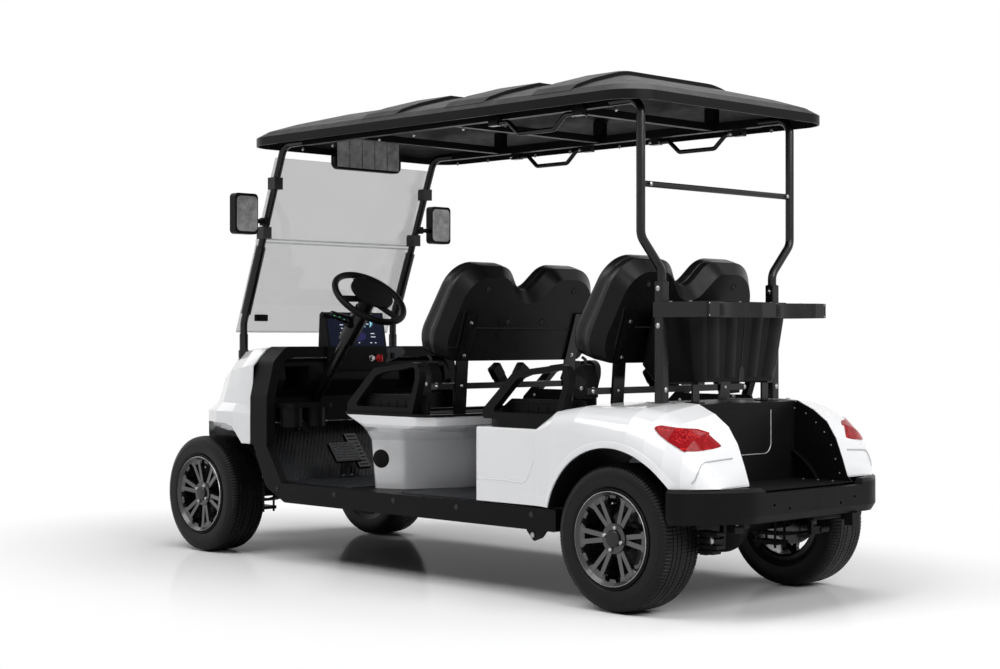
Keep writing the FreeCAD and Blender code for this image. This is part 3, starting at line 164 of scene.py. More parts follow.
def surface(name, color, rough, metal=0.0, coat=0.0, vary=0.12, cloud=3.0, grain=900.0, grain_depth=0.0002,
            grit=0.15, rough_vary=0.06, specular=0.5, stretch=None):
    """A coloured surface with faint patches, uneven gloss and a fine grain, whose strength is the grit."""
    n = Nodes(name)
    patches = n.span(n.noise(cloud, 3.0), "Fac", 0.0, 1.0)
    tint = n.blend(patches, "Result", shade(color, 1.0 - vary), shade(color, 1.0 + vary))
    n.join(tint, 2, n.shader, "Base Color")
    smears = n.noise(cloud * 6.0, 5.0, stretch=stretch)
    gloss = n.span(smears, "Fac", max(0.02, rough - rough_vary), min(1.0, rough + rough_vary))
    n.join(gloss, "Result", n.shader, "Roughness")
    n.bump(n.noise(grain, 2.0, stretch=stretch), "Fac", grit, grain_depth)
    n.put(n.shader, {"Metallic": metal, "Coat Weight": coat, "Coat Roughness": 0.05,
                     "Specular IOR Level": specular})
    return n


def paint(*looks, **more):
    return surface(*looks, **more).material


HUB_FACE_R = 0.054                     # the hub's face stays black
RIM_FACE_Y = 0.545                     # outwards of this, a rim's face is machined
SQUARE_ON = 0.93                       # how straight sideways a machined face looks


def wheel_face():
    """Gloss black alloy whose outward faces are machined bright, with faint turning lines."""
    n = surface("rim_alloy", (0.012, 0.012, 0.013), 0.25, coat=0.4, vary=0.1)
    flat = n.math("GREATER_THAN", n.math("ABSOLUTE", (n.split("Normal"), "Y")), SQUARE_ON)
    place = n.split("Object")
    outer = n.math("GREATER_THAN", n.math("ABSOLUTE", (place, "Y")), RIM_FACE_Y)
    from_axles = [n.math("ABSOLUTE", n.math("SUBTRACT", (place, "X"), x)) for x in (REAR_AXLE_X, FRONT_AXLE_X)]
    along = n.math("MINIMUM", *from_axles)
    up = n.math("SUBTRACT", (place, "Z"), centre("tyre_rear_left").z)
    squares = n.math("ADD", n.math("POWER", along, 2.0), n.math("MULTIPLY", up, up))
    beyond = n.math("GREATER_THAN", squares, HUB_FACE_R ** 2)
    mask = n.math("MULTIPLY", n.math("MULTIPLY", flat, outer), beyond)
    machined = n.add("ShaderNodeBsdfPrincipled", {"Base Color": (0.11, 0.11, 0.112, 1.0), "Metallic": 1.0,
                                                  "Roughness": 0.2})
    n.bump(n.noise(60.0, 3.0, stretch=(1.0, 1.0, 14.0)), "Fac", 0.06, 0.0004, machined)
    n.mixed(mask, machined)


STUDS_FROM = 1.2                       # the mat is studded ahead of this station


def rubber_mat():
    """Black rubber with raised studs on a diagonal grid."""
    n = surface("mat_rubber", (0.016, 0.017, 0.02), 0.42, vary=0.2, grain=500.0, specular=0.2)
    grid = n.mapped({"Rotation": (0.0, 0.0, math.radians(45.0)), "Scale": (38.0, 38.0, 38.0)})
    checks = n.add("ShaderNodeTexBrick", {"Scale": 1.0, "Mortar Size": 0.22, "Mortar Smooth": 0.5,
                                          "Brick Width": 1.3, "Row Height": 0.55}, offset=0.5)
    n.join(grid, "Vector", checks, "Vector")
    studded = n.math("GREATER_THAN", (n.split("Object"), "X"), DATUM_X + STUDS_FROM)
    n.bump(n.math("MULTIPLY", n.math("SUBTRACT", 1.0, (checks, "Fac")), studded), 0, 0.9, 0.004)


def glassy(name, color, alpha, rough=0.03, tint=0.75):
    n = surface(name, color, rough, vary=0.04, rough_vary=0.01, grit=0.02)
    n.put(n.shader, {"Transmission Weight": tint, "Alpha": alpha, "IOR": 1.45})
    return n.material


def tail_lens():
    """Red lens over a faceted reflector whose bright red cells, shown in patches, are painted glints."""
    n = surface("red_lens", (0.4, 0.003, 0.006), 0.12, vary=0.3, cloud=30.0, specular=0.12)
    cells = n.add("ShaderNodeTexVoronoi", {"Scale": 110.0}, feature="F1")
    n.join(n.coords, "Object", cells, "Vector")
    cell = n.span(cells, "Distance", 0.0, 1.0, 0.05, 0.6)
    # bright red cells are painted glints on the reflector's facets; the dark red is the lens's own colour
    inner = n.blend(cell, "Result", (0.8, 0.03, 0.03), (0.22, 0.0, 0.004))
    band = n.noise(14.0, 1.0, stretch=(1.0, 1.0, 3.0))
    lens_and_painted_glints = n.add("ShaderNodeMix", {6: (0.3, 0.002, 0.006, 1.0)}, data_type="RGBA")
    n.join(n.span(band, "Fac", 0.0, 1.0, 0.4, 0.6), "Result", lens_and_painted_glints, "Factor")
    n.join(inner, 2, lens_and_painted_glints, 7)
    n.join(lens_and_painted_glints, 2, n.shader, "Base Color")
    n.bump(cells, "Distance", 0.08, 0.001)


def lit(name, color, strength):
    """Faintly lit colour for the display."""
    n = Nodes(name)
    tint = n.blend(n.span(n.noise(180.0, 2.0), "Fac", 0.0, 1.0), "Result", shade(color, 0.85), color)
    n.join(tint, 2, n.shader, "Base Color")
    n.join(tint, 2, n.shader, "Emission Color")
    n.put(n.shader, {"Emission Strength": strength, "Roughness": 0.3, "Specular IOR Level": 0.1})
    return n.material


WHITE = paint("white_body", (0.86, 0.865, 0.88), 0.16, coat=0.6, vary=0.012, rough_vary=0.04, grain=350.0,
              grit=0.03)
STEEL = paint("black_steel", (0.007, 0.007, 0.0075), 0.4, vary=0.2, specular=0.09)
paint("black_tube", (0.005, 0.005, 0.0055), 0.24, vary=0.1, grit=0.08, specular=0.3)
PLASTIC = paint("black_plastic", (0.0055, 0.0055, 0.006), 0.4, vary=0.14, grain=1400.0, grit=0.25,
                grain_depth=0.0004, specular=0.07)
SHELL = paint("shell_plastic", (0.006, 0.006, 0.0065), 0.32, grain=1600.0, grit=0.2,
              grain_depth=0.0004, specular=0.12)
paint("roof_plastic", (0.008, 0.008, 0.0085), 0.4, grain=700.0, grit=0.3, grain_depth=0.0005, specular=0.07)
TYRE = paint("tyre", (0.005, 0.005, 0.0052), 0.42, vary=0.2, grain=500.0, grit=0.2, specular=0.16)
wheel_face()
rubber_mat()
VINYL = paint("seat_vinyl", (0.008, 0.008, 0.009), 0.34, vary=0.14, grain=420.0, grit=0.35,
              grain_depth=0.0006, specular=0.25)
glassy("tinted_glass", (0.41, 0.41, 0.41), 0.58)
CLEAR = glassy("clear_lens", (0.85, 0.87, 0.9), 0.6, tint=0.5)
tail_lens()
paint("battery_case", (0.08, 0.08, 0.085), 0.5)
MIRROR = paint("mirror_face", (0.19, 0.19, 0.19), 0.2, metal=1.0, vary=0.3, cloud=30.0, stretch=(1.0, 0.12, 2.2))
BOLT = paint("bolt_steel", (0.4, 0.4, 0.41), 0.28, metal=1.0, grain=300.0)
PIPING = paint("piping", (0.012, 0.012, 0.013), 0.3, specular=0.3)
BELT = paint("belt_web", (0.009, 0.009, 0.01), 0.7, specular=0.2, grit=0.5, stretch=(1.0, 1.0, 6.0))
SEAM = paint("dark_gap", (0.004, 0.004, 0.004), 0.8)
MACHINED = paint("machined_alloy", (0.09, 0.09, 0.092), 0.25, metal=1.0, vary=0.1, cloud=8.0, grain=400.0,
                 grit=0.08, stretch=(1.0, 1.0, 1.0))
GLOSS = paint("gloss_black", (0.006, 0.006, 0.0065), 0.15, vary=0.1, specular=0.35)
ALLOY = paint("pale_seam", (0.55, 0.55, 0.56), 0.3, metal=0.6)
GREY = paint("dark_grey_plastic", (0.03, 0.033, 0.038), 0.4, vary=0.08, specular=0.25)
RED_PLAIN = paint("red_plastic", (0.55, 0.012, 0.015), 0.3)
MIRROR_DARK = paint("cabin_mirror_glass", (0.45, 0.45, 0.45), 0.2, vary=0.3, cloud=30.0, stretch=(1.0, 0.3, 3.0))
# grey for the lines of painted shade on the ledges of the rear corners' steps
STEP_LEDGE_SHADE = paint("shaded_step", (0.42, 0.425, 0.44), 0.35, vary=0.05)
SCREEN = lit("screen_dark_blue", (0.003, 0.006, 0.022), 0.5)
VIOLET = lit("screen_violet", (0.02, 0.02, 0.09), 0.6)
CYAN = lit("screen_cyan", (0.35, 0.8, 0.95), 0.9)
PALE_GLOW = lit("screen_white", (0.7, 0.8, 0.9), 0.8)
GREEN_GLOW = lit("screen_green", (0.1, 0.7, 0.2), 0.8)

SMOOTH_PANEL = 34.0                    # degrees between faces that still shade as one surface
SMOOTH_LENS = 62.0


def paint_nodes():
    """Every CAD node takes the finish of its slot in the record."""
    slots = {part["node"]: part["material_slot"] for part in frame["record"]["subparts"]}
    for name, thing in NODES.items():
        thing.data.materials.clear()
        thing.data.materials.append(LOOK[slots[name]])
    for name in ("front_backrest_shell", "rear_backrest_shell"):
        NODES[name].data.materials[0] = SHELL
    NODES["roof_rails"].data.materials[0] = PLASTIC
    NODES["rear_deck"].data.materials[0] = SHELL
    for name in ("front_cowl", "rear_fender_left", "rear_fender_right", "front_pod", "tail_lights", "roof_canopy",
                 "rear_bumper", "front_bumper", "front_backrest_shell", "rear_backrest_shell", "cowl_frame"):
        NODES[name].data.shade_smooth()
        limit = SMOOTH_LENS if name == "tail_lights" else SMOOTH_PANEL
        NODES[name].data.set_sharp_from_angle(angle=math.radians(limit))


# ---- stage, light and camera ----
def seen_path(add, link):
    """1 on rays that show the background: from the camera, off a gloss or through glass."""
    path = add("ShaderNodeLightPath")
    total = path.outputs["Is Camera Ray"]
    for kind in ("Is Glossy Ray", "Is Transmission Ray"):
        larger = add("ShaderNodeMath")
        larger.operation = "MAXIMUM"
        link(total, larger.inputs[0])
        link(path.outputs[kind], larger.inputs[1])
        total = larger.outputs[0]
    return total


WORLD_FILL = 0.07
FLOOR_HALF = 60.0
FLOOR_FADE = (1.1, 2.0)                # metres from the middle, squeezed along the cart


def linked(name, data):
    """New object in the scene."""
    thing = bpy.data.objects.new(name, data)
    SCENE.collection.objects.link(thing)
    return thing


def studio():
    """White surroundings, and a floor that takes the shadow and turns to plain white farther out."""
    world = bpy.data.worlds.new("studio")
    SCENE.world = world
    world.use_nodes = True
    nodes, link = world.node_tree.nodes, world.node_tree.links.new
    nodes.clear()
    out, mix = nodes.new("ShaderNodeOutputWorld"), nodes.new("ShaderNodeMixShader")
    link(seen_path(nodes.new, link), mix.inputs[0])
    for slot, strength in ((1, WORLD_FILL), (2, 1.0)):
        light = nodes.new("ShaderNodeBackground")
        light.inputs[0].default_value = (1.0, 1.0, 1.0, 1.0)
        light.inputs[1].default_value = strength
        link(light.outputs[0], mix.inputs[slot])
    link(mix.outputs[0], out.inputs[0])

    mesh = bpy.data.meshes.new("floor")
    corners = [(sx * FLOOR_HALF, sy * FLOOR_HALF, 0) for sx, sy in ((-1, -1), (1, -1), (1, 1), (-1, 1))]
    mesh.from_pydata(corners, [], [(0, 1, 2, 3)])
    floor = linked("floor", mesh)
    n = Nodes("floor")
    n.put(n.shader, {"Base Color": (0.96, 0.96, 0.96, 1.0), "Roughness": 0.1, "Specular IOR Level": 0.001})
    reach = n.add("ShaderNodeVectorMath", operation="LENGTH")
    n.join(n.mapped({"Scale": (0.62, 1.0, 1.0)}), "Vector", reach, 0)
    far = n.span(reach, "Value", 0.0, 1.0, *FLOOR_FADE)
    far.interpolation_type = "SMOOTHSTEP"
    shown = n.math("MULTIPLY", (far, "Result"))
    n.tree.links.new(seen_path(n.tree.nodes.new, n.tree.links.new), shown.inputs[1])
    n.mixed(shown, n.add("ShaderNodeEmission"))
    mesh.materials.append(n.material)
    floor.location.z = -0.001


def area(name, place, target, size, power):
    data = bpy.data.lights.new(name, "AREA")
    data.shape = "RECTANGLE"
    data.size, data.size_y = size
    data.energy = power
    lamp = linked(name, data)
    lamp.location = place
    lamp.rotation_euler = (Vector(target) - Vector(place)).to_track_quat("-Z", "Y").to_euler()


def lights():
    area("key", (-0.4, -0.1, 5.0), (0, -0.1, 0.0), (6.0, 3.0), 165.0)
    area("side", (0.3, 3.6, 4.5), (0, 0.4, 0.6), (5.0, 1.6), 104.0)
    area("rear", (-4.6, 0.3, 3.0), (-0.9, 0, 0.7), (3.0, 2.0), 125.0)
    area("front", (5.5, 1.0, 3.2), (0.8, 0, 1.0), (3.0, 3.0), 30.0)


CAMERA_BEHIND = 3.997                  # from the rear axle back to the lens
CAMERA_LEFT = 5.002
CAMERA_HEIGHT = 0.940
VIEW_LENS = 62.69                      # millimetres on a 36 mm wide sensor
VIEW_YAW = -44.31                      # degrees from +X
VIEW_PITCH = 0.13


def camera():
    data = bpy.data.cameras.new("view")
    data.lens = VIEW_LENS
    data.sensor_width = 36.0
    data.clip_end = 200.0
    eye = linked("view", data)
    eye.location = (REAR_AXLE_X - CAMERA_BEHIND, CAMERA_LEFT, CAMERA_HEIGHT)
    eye.rotation_euler = Euler((math.radians(90.0 + VIEW_PITCH), 0.0, math.radians(VIEW_YAW - 90.0)), "XYZ")
    SCENE.camera = eye


# ---- mesh helpers ----
def basis(axis):
    """Two unit vectors square to an axis and to each other."""
    axis = Vector(axis).normalized()
    other = Vector((0.0, 0.0, 1.0)) if abs(axis.z) < 0.9 else Vector((1.0, 0.0, 0.0))
    u = axis.cross(other).normalized()
    return u, axis.cross(u).normalized(), axis


def circle(u, v, radius, count):
    """Offsets round a centre in the plane of u and v."""
    return [(u * math.cos(t) + v * math.sin(t)) * radius for t in (2 * math.pi * k / count for k in range(count))]


class Form:
    """Collects simple closed forms and makes one piece of them."""

    def __init__(self):
        self.verts = []
        self.faces = []

    def add(self, verts, faces):
        base = len(self.verts)
        self.verts += [tuple(v) for v in verts]
        self.faces += [tuple(base + i for i in face) for face in faces]

    def box(self, centre, size, turn=None):
        turn = turn or Matrix.Identity(3)
        half = Vector(size) / 2.0
        corners = [Vector(centre) + turn @ Vector((sx * half.x, sy * half.y, sz * half.z))
                   for sx in (-1, 1) for sy in (-1, 1) for sz in (-1, 1)]
        self.add(corners, [(0, 1, 3, 2), (4, 6, 7, 5), (0, 4, 5, 1), (2, 3, 7, 6), (0, 2, 6, 4), (1, 5, 7, 3)])

    def rings(self, rings, closed=False):
        """Skin over rings of equal point counts."""
        count = len(rings[0])
        verts = [p for ring in rings for p in ring]
        faces = []
        last = len(rings) if closed else len(rings) - 1
        for k in range(last):
            a, b = k * count, ((k + 1) % len(rings)) * count
            for i in range(count):
                j = (i + 1) % count
                faces.append((a + i, a + j, b + j, b + i))
        if not closed:
            faces.append(tuple(reversed(range(count))))
            faces.append(tuple(range(len(verts) - count, len(verts))))
        self.add(verts, faces)

    def lathe(self, centre, axis, profile, count=24):
        """Profile of (distance along the axis, radius) spun round the axis."""
        u, v, w = basis(axis)
        centre = Vector(centre)
        self.rings([[centre + w * along + p for p in circle(u, v, radius, count)] for along, radius in profile])

    def tube(self, points, radius, count=10):
        points = [Vector(p) for p in points]
        rings = []
        u = basis(points[1] - points[0])[0]
        for i, p in enumerate(points):
            ahead = points[min(i + 1, len(points) - 1)] - points[max(i - 1, 0)]
            w = ahead.normalized()
            u = (u - w * u.dot(w)).normalized()
            v = w.cross(u)
            rings.append([p + q for q in circle(u, v, radius, count)])
        self.rings(rings)

    def ring(self, centre, axis, big, small, count=48, section=10):
        u, v, w = basis(axis)
        centre = Vector(centre)
        rings = []
        for i in range(count):
            t = 2 * math.pi * i / count
            out = u * math.cos(t) + v * math.sin(t)
            rings.append([centre + out * big + p for p in circle(out, w, small, section)])
        self.rings(rings, closed=True)

    def bolt(self, place, axis, radius, height=None):
        """Low domed screw head on a washer."""
        height = height or radius * 0.6
        profile = [(0, radius * 1.3), (radius * 0.15, radius * 1.3), (radius * 0.16, radius),
                   (height * 0.6, radius), (height * 0.9, radius * 0.7), (height, radius * 0.3)]
        self.lathe(place, axis, profile, 14)

    def screws(self, name):
        self.make(name, BOLT, smooth=40)

    def make(self, name, material, body=CHASSIS, smooth=32.0, fine=None):
        mesh = bpy.data.meshes.new(name)
        mesh.from_pydata(self.verts, [], self.faces)
        mesh.update()
        thing = linked(name, mesh)
        mesh.materials.append(material)
        if smooth:
            mesh.shade_smooth()
            mesh.set_sharp_from_angle(angle=math.radians(smooth))
        if fine:
            edge = thing.modifiers.new("edge", "BEVEL")
            edge.width = fine
            edge.segments = 2
            edge.limit_method = "ANGLE"
            edge.angle_limit = math.radians(40)
        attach(thing, body)
        return thing


def mm(*values):
    return Vector(values) / 1000.0


def P(x, y, z):
    """Point at a station, offset and height, all in millimetres."""
    return Vector((DATUM_X + x / 1000.0, y / 1000.0, z / 1000.0))


def filleted(rows, steps=6):
    """Closed outline with its corners rounded: rows are (a, b, radius)."""
    out = []
    count = len(rows)
    for i, (a, b, radius) in enumerate(rows):
        here = Vector((a, b))
        if radius <= 0:
            out.append(here)
            continue
        before = Vector(rows[i - 1][:2]) - here
        after = Vector(rows[(i + 1) % count][:2]) - here
        p, q = before.normalized(), after.normalized()
        half = math.acos(max(-1.0, min(1.0, p.dot(q)))) / 2.0
        reach = min(radius / math.tan(half), before.length * 0.49, after.length * 0.49)
        real = reach * math.tan(half)
        middle = here + (p + q).normalized() * (real / math.sin(half))
        first, last = here + p * reach - middle, here + q * reach - middle
        turn = math.atan2(first.x * last.y - first.y * last.x, first.dot(last))
        for k in range(steps + 1):
            t = turn * k / steps
            out.append(middle + Vector((first.x * math.cos(t) - first.y * math.sin(t),
                                        first.x * math.sin(t) + first.y * math.cos(t))))
    return out


def resampled(points, step):
    """Outline with points at most a step apart."""
    out = []
    for i, p in enumerate(points):
        q = points[(i + 1) % len(points)]
        cuts = max(1, int(math.ceil((q - p).length / step)))
        out += [p + (q - p) * (k / cuts) for k in range(cuts)]
    return out


def shrunk(points, inset):
    """Outline moved inwards along its normals; counter-clockwise outlines shrink."""
    out = []
    count = len(points)
    for i, p in enumerate(points):
        a = (p - points[i - 1]).normalized()
        b = (points[(i + 1) % count] - p).normalized()
        normal = Vector((-(a.y + b.y), a.x + b.x))
        length = normal.length
        out.append(p + normal / length * inset if length > 1e-6 else p)
    return out


# ---- wheels ----
TYRE_HALF = 0.093                      # half-width that the profile below is drawn for


def tyre(name):
    """Tyre with sipes, grooves and rings on its outer side; it stands for the plain CAD one."""
    low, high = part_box("tyre_" + name)
    hub = (low + high) / 2.0
    outer = (high.z - low.z) / 2.0
    half = (high.y - low.y) / 2.0
    rim = outer - 0.095
    side = 1.0 if hub.y > 0 else -1.0
    # (across, radius, how deep a sipe cuts here)
    shape = [(-0.081, rim, 0), (-0.087, rim + 0.014, 0), (-0.0885, rim + 0.018, 0), (-0.0915, rim + 0.022, 0),
             (-0.0928, rim + 0.034, 0), (-0.093, rim + 0.05, 0), (-0.0926, outer - 0.036, 0),
             (-0.0915, outer - 0.028, 0), (-0.090, outer - 0.022, 0.001), (-0.087, outer - 0.014, 0.003),
             (-0.0825, outer - 0.0075, 0.0034), (-0.075, outer - 0.003, 0.0034), (-0.065, outer - 0.0008, 0.003),
             (-0.0605, outer - 0.0004, 0.002), (-0.060, outer - 0.005, 0), (-0.057, outer - 0.005, 0),
             (-0.0565, outer, 0.0015), (-0.040, outer, 0.0015), (-0.0395, outer - 0.005, 0),
             (-0.0365, outer - 0.005, 0), (-0.036, outer, 0.0015), (-0.0195, outer, 0.0015),
             (-0.019, outer - 0.005, 0), (-0.0155, outer - 0.005, 0), (-0.015, outer, 0.0015),
             (0.0, outer, 0.0015)]
    shape = [(a * half / TYRE_HALF, r, c) for a, r, c in shape]
    shape += [(-a, r, c) for a, r, c in reversed(shape[:-1])]
    period, repeats = 4, 120
    count = period * repeats
    verts, faces = [], []
    for i in range(count):
        cut = (0.0, 1.0, 0.0, 0.0)[i % period]
        for k, (across, radius, depth) in enumerate(shape):
            slant = 0.35 * abs(across) / half * (2 * math.pi / repeats) * (1 if across > 0 else -1)
            t = 2 * math.pi * i / count + slant
            r = radius - depth * cut
            verts.append((hub.x + math.cos(t) * r, hub.y + across, hub.z + math.sin(t) * r))
    size = len(shape)
    for i in range(count):
        a, b = i * size, ((i + 1) % count) * size
        for k in range(size - 1):
            faces.append((a + k, a + k + 1, b + k + 1, b + k))
        faces.append((a + size - 1, a, b, b + size - 1))
    form = Form()
    form.add(verts, faces)
    form.ring((hub.x, hub.y + side * (half - 0.0012), hub.z), (0, 1, 0), rim + 0.012, 0.0022, 120, 6)
    form.ring((hub.x, hub.y + side * (half - 0.0006), hub.z), (0, 1, 0), outer - 0.036, 0.0014, 120, 6)
    thing = form.make("tyre_" + name + "_tread", TYRE, "wheel_" + name, 26.0)
    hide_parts("tyre_" + name)


RIM_TURN = {"rear": math.radians(30.0), "front": math.radians(15.0)}     # as in the part's source


def ramp(value, start, run):
    """0 before the start, 1 after the run."""
    return max(0.0, min(1.0, (value - start) / run))


NUT_RING = 0.040
BAND_STEPS = 240


def wheel_trim(name):
    """Machined band with bays between the spoke pairs, lip, hub cap, nuts and valve stem."""
    low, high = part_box("rim_" + name)
    hub = (low + high) / 2.0
    side = 1.0 if hub.y > 0 else -1.0
    face = flank("rim_" + name, side)
    big = (high.z - low.z) / 2.0
    body = "wheel_" + name
    start = math.pi / 2 - RIM_TURN[name.split("_")[0]]

    def spot(radius, t, y):
        return hub.x + math.cos(t) * radius, y, hub.z + math.sin(t) * radius

    inner, outer, back = [], [], []
    for i in range(BAND_STEPS):
        t = 2 * math.pi * i / BAND_STEPS
        phase = abs(((t / (2 * math.pi) * 6.0 + 0.5) % 1.0) - 0.5)      # 0 at a spoke pair, 0.5 midway
        r_in = big - 0.034 + 0.018 * (ramp(phase, 0.24, 0.03) - 0.55 * ramp(phase, 0.40, 0.02))
        inner.append(spot(r_in, t + start, face - side * 0.0175))
        outer.append(spot(big - 0.010, t + start, face - side * 0.0105))
        back.append(spot(r_in + 0.001, t + start, face - side * 0.034))
    ahead = [(i + 1) % BAND_STEPS for i in range(BAND_STEPS)]
    quads = [(i, j, BAND_STEPS + j, BAND_STEPS + i) for i, j in enumerate(ahead)]
    band, wall, lip, cap, nuts = Form(), Form(), Form(), Form(), Form()
    band.add(outer + inner + back, quads)
    band.make("rim_band_" + name, MACHINED, body)
    wall.add(inner + back, quads)
    wall.make("rim_bays_" + name, GLOSS, body)
    lip.ring((hub.x, face - side * 0.0025, hub.z), (0, 1, 0), big - 0.003, 0.0018, 160, 8)
    lip.make("rim_lip_" + name, BOLT, body)
    level = face - side * 0.029
    cap.lathe((hub.x, level, hub.z), (0, side, 0),
              [(0, 0.030), (0.013, 0.030), (0.016, 0.027), (0.0165, 0.018), (0.0175, 0.0)], 40)
    cap.ring((hub.x, level + side * 0.001, hub.z), (0, 1, 0), 0.048, 0.004, 60, 8)
    for k in range(4):
        t = start + math.pi / 4 + k * math.pi / 2
        cap.ring(spot(NUT_RING, t, level + side * 0.0005), (0, 1, 0), 0.0115, 0.0028, 20, 6)
        nuts.lathe(spot(NUT_RING, t, level), (0, side, 0),
                   [(0, 0.0095), (0.011, 0.0095), (0.016, 0.0065), (0.0175, 0.003)], 6)
    cap.make("hub_cap_" + name, GLOSS, body)
    nuts.lathe(spot(big - 0.043, start + math.pi / 6, face - side * 0.032), (0, side, 0),
               [(0, 0.0035), (0.016, 0.0035)], 10)
    nuts.make("wheel_nuts_" + name, BOLT, body, 30)


# ---- backrests ----
BACK_TURN = math.radians(18.0)
BACK_HALF, BACK_LOW, BACK_TOP, BACK_VALLEY = 444.0, 851.0, 1232.0, 1089.0
SHELL_DEEP = 45.0
PAD_DEEP, PAD_TAPER = 105.0, 28.0


def lean(base_x, ahead, y, z):
    """Point on a leaning backrest: ahead of its back plane, at y and at z before it leans."""
    c, s = math.cos(BACK_TURN), math.sin(BACK_TURN)
    dz = z - BACK_LOW
    return P(base_x + ahead * c - dz * s, y, BACK_LOW + ahead * s + dz * c)


def back_outline():
    left = [(BACK_HALF - 40, BACK_LOW, 40), (BACK_HALF, BACK_LOW + 80, 120), (BACK_HALF - 68, BACK_TOP, 130),
            (112, BACK_TOP, 95)]
    rows = left + [(0, BACK_VALLEY, 74)] + [(-y, z, r) for y, z, r in reversed(left)]
    return resampled(filleted(rows, 10), 14.0)


def on_pad(base_x, depth, y, z):
    """Point at a depth from the shell, drawn back towards the pad's thinner top."""
    share = max(0.0, (z - BACK_LOW) / (BACK_TOP - BACK_LOW))
    return lean(base_x, SHELL_DEEP + depth * (1.0 - PAD_TAPER / PAD_DEEP * share), y, z)


def back_pad(name, base_x):
    """Foam pad with a piped seam round its edge and a soft rolled front."""
    edge = back_outline()
    deep, roll = PAD_DEEP, 36.0
    levels = [(0.0, 0.6), (3.0, 0.0), (33.0, 0.0), (36.5, 3.2), (40.0, 0.0), (deep - roll, 0.0)]
    for k in range(1, 8):
        t = k / 7 * math.pi / 2
        levels.append((deep - roll + (roll - 5.0) * math.sin(t), roll * (1 - math.cos(t))))
    levels += [(deep - 5.4, 44.0), (deep - 7.6, 47.0), (deep - 5.0, 50.0), (deep - 2.0, 60.0), (deep - 0.5, 78.0)]
    form = Form()
    form.rings([[on_pad(base_x, max(depth, 0.35), p.x, p.y) for p in shrunk(edge, inset)]
                for depth, inset in levels])
    thing = form.make(name + "_cushion", VINYL, smooth=50.0)
    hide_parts(name)
    cord = Form()
    loop = [on_pad(base_x, 36.5, p.x, p.y) for p in shrunk(edge, 1.6)]
    piping = []
    for i, p in enumerate(loop):
        ahead = (loop[(i + 1) % len(loop)] - loop[i - 1]).normalized()
        u = (lean(base_x, 1.0, 0, 900) - lean(base_x, 0.0, 0, 900)).normalized()
        piping.append([p + q for q in circle(u, ahead.cross(u), 0.0024, 7)])
    cord.rings(piping, closed=True)
    cord.make(name + "_piping", PIPING)


def back_shell_trim(name, base_x):
    """Ridges, holes and bolts on the back of a shell."""
    trim, holes, bolts = Form(), Form(), Form()
    out = (lean(base_x, -1, 0, 900) - lean(base_x, 0, 0, 900)).normalized()
    # two ends of each ridge, its height, and which way its flanks spread
    for ends, rise, dy, dz in ((((-270, 985), (270, 985)), -2.6, 0, 1), (((330, 905), (400, 905)), -2.6, 0, 1),
                               (((-400, 905), (-330, 905)), -2.6, 0, 1), (((-345, 900), (-345, 1060)), -2.2, 1, 0),
                               (((345, 900), (345, 1060)), -2.2, 1, 0)):
        trim.rings([[lean(base_x, ahead, y + spread * dy, z + spread * dz)
                     for ahead, spread in ((0.3, -5), (rise, -2), (rise, 2), (0.3, 5))] for y, z in ends])
    for y, z, r in ((245, 1150, 9), (-245, 1150, 9), (97, 1015, 11), (-97, 1015, 11)):
        holes.lathe(lean(base_x, 0.2, y, z), out, [(0, r / 1000), (0.0009, r / 1000), (0.001, r * 0.8 / 1000)], 20)
        trim.ring(lean(base_x, 0.0, y, z), out, (r + 3.0) / 1000, 0.0022, 24, 6)
    for y in (-308.0, 308.0):
        for z in (1011, 876):
            bolts.bolt(lean(base_x, -11.2, y, z), out, 0.0065)
    trim.make(name + "_ridges", SHELL)
    holes.make(name + "_holes", SEAM)
    bolts.screws(name + "_bolts")


# ---- seats, belts and trays ----
def seat_details(base_x, tag):
    """Bar bolts, buckles' covers and buttons, retractor covers and stubs of web."""
    bolts, covers, web, button = Form(), Form(), Form(), Form()
    bar_x = base_x + 4.0
    for y in (-436, 436, -308, 308):
        bolts.bolt(P(bar_x - (0.4 if abs(y) > 400 else 6.0), y, 752), (-1, 0, 0), 0.0065)
        bolts.bolt(P(bar_x + 12, y * 0.97, 764.3), (0, 0, 1), 0.0055)
    for side in (-1, 1):
        turn = Matrix.Rotation(math.radians(-35.0 * side), 3, "X")
        root = P(bar_x + 24.3, side * 32.0, 752)
        button.box(root + turn @ mm(16, 0, 96.0), mm(20, 26, 3), turn)
        covers.box(root + turn @ mm(16, 0, 66), mm(36, 48, 50), turn)
    for y in (-410.0, 410.0):
        place = P(bar_x + 24, y, 752)
        for dy in (-27.6, 27.6):
            covers.box(place + mm(38, dy, 26), mm(54, 2.4, 46), Matrix.Rotation(math.radians(-28), 3, "Y"))
        web.tube([place + mm(34, 0, 92), place + mm(38, 0, 112), place + mm(52, 0, 120)], 0.006, 8)
        bolts.bolt(place + mm(30, 28.9 if y > 0 else -28.9, 10), (0, 1 if y > 0 else -1, 0), 0.0055)
    bolts.screws("seat_bolts_" + tag)
    covers.make("buckle_covers_" + tag, SHELL, fine=0.003)
    web.make("belt_web_" + tag, BELT)
    button.make("buckle_buttons_" + tag, GLOSS, fine=0.001)


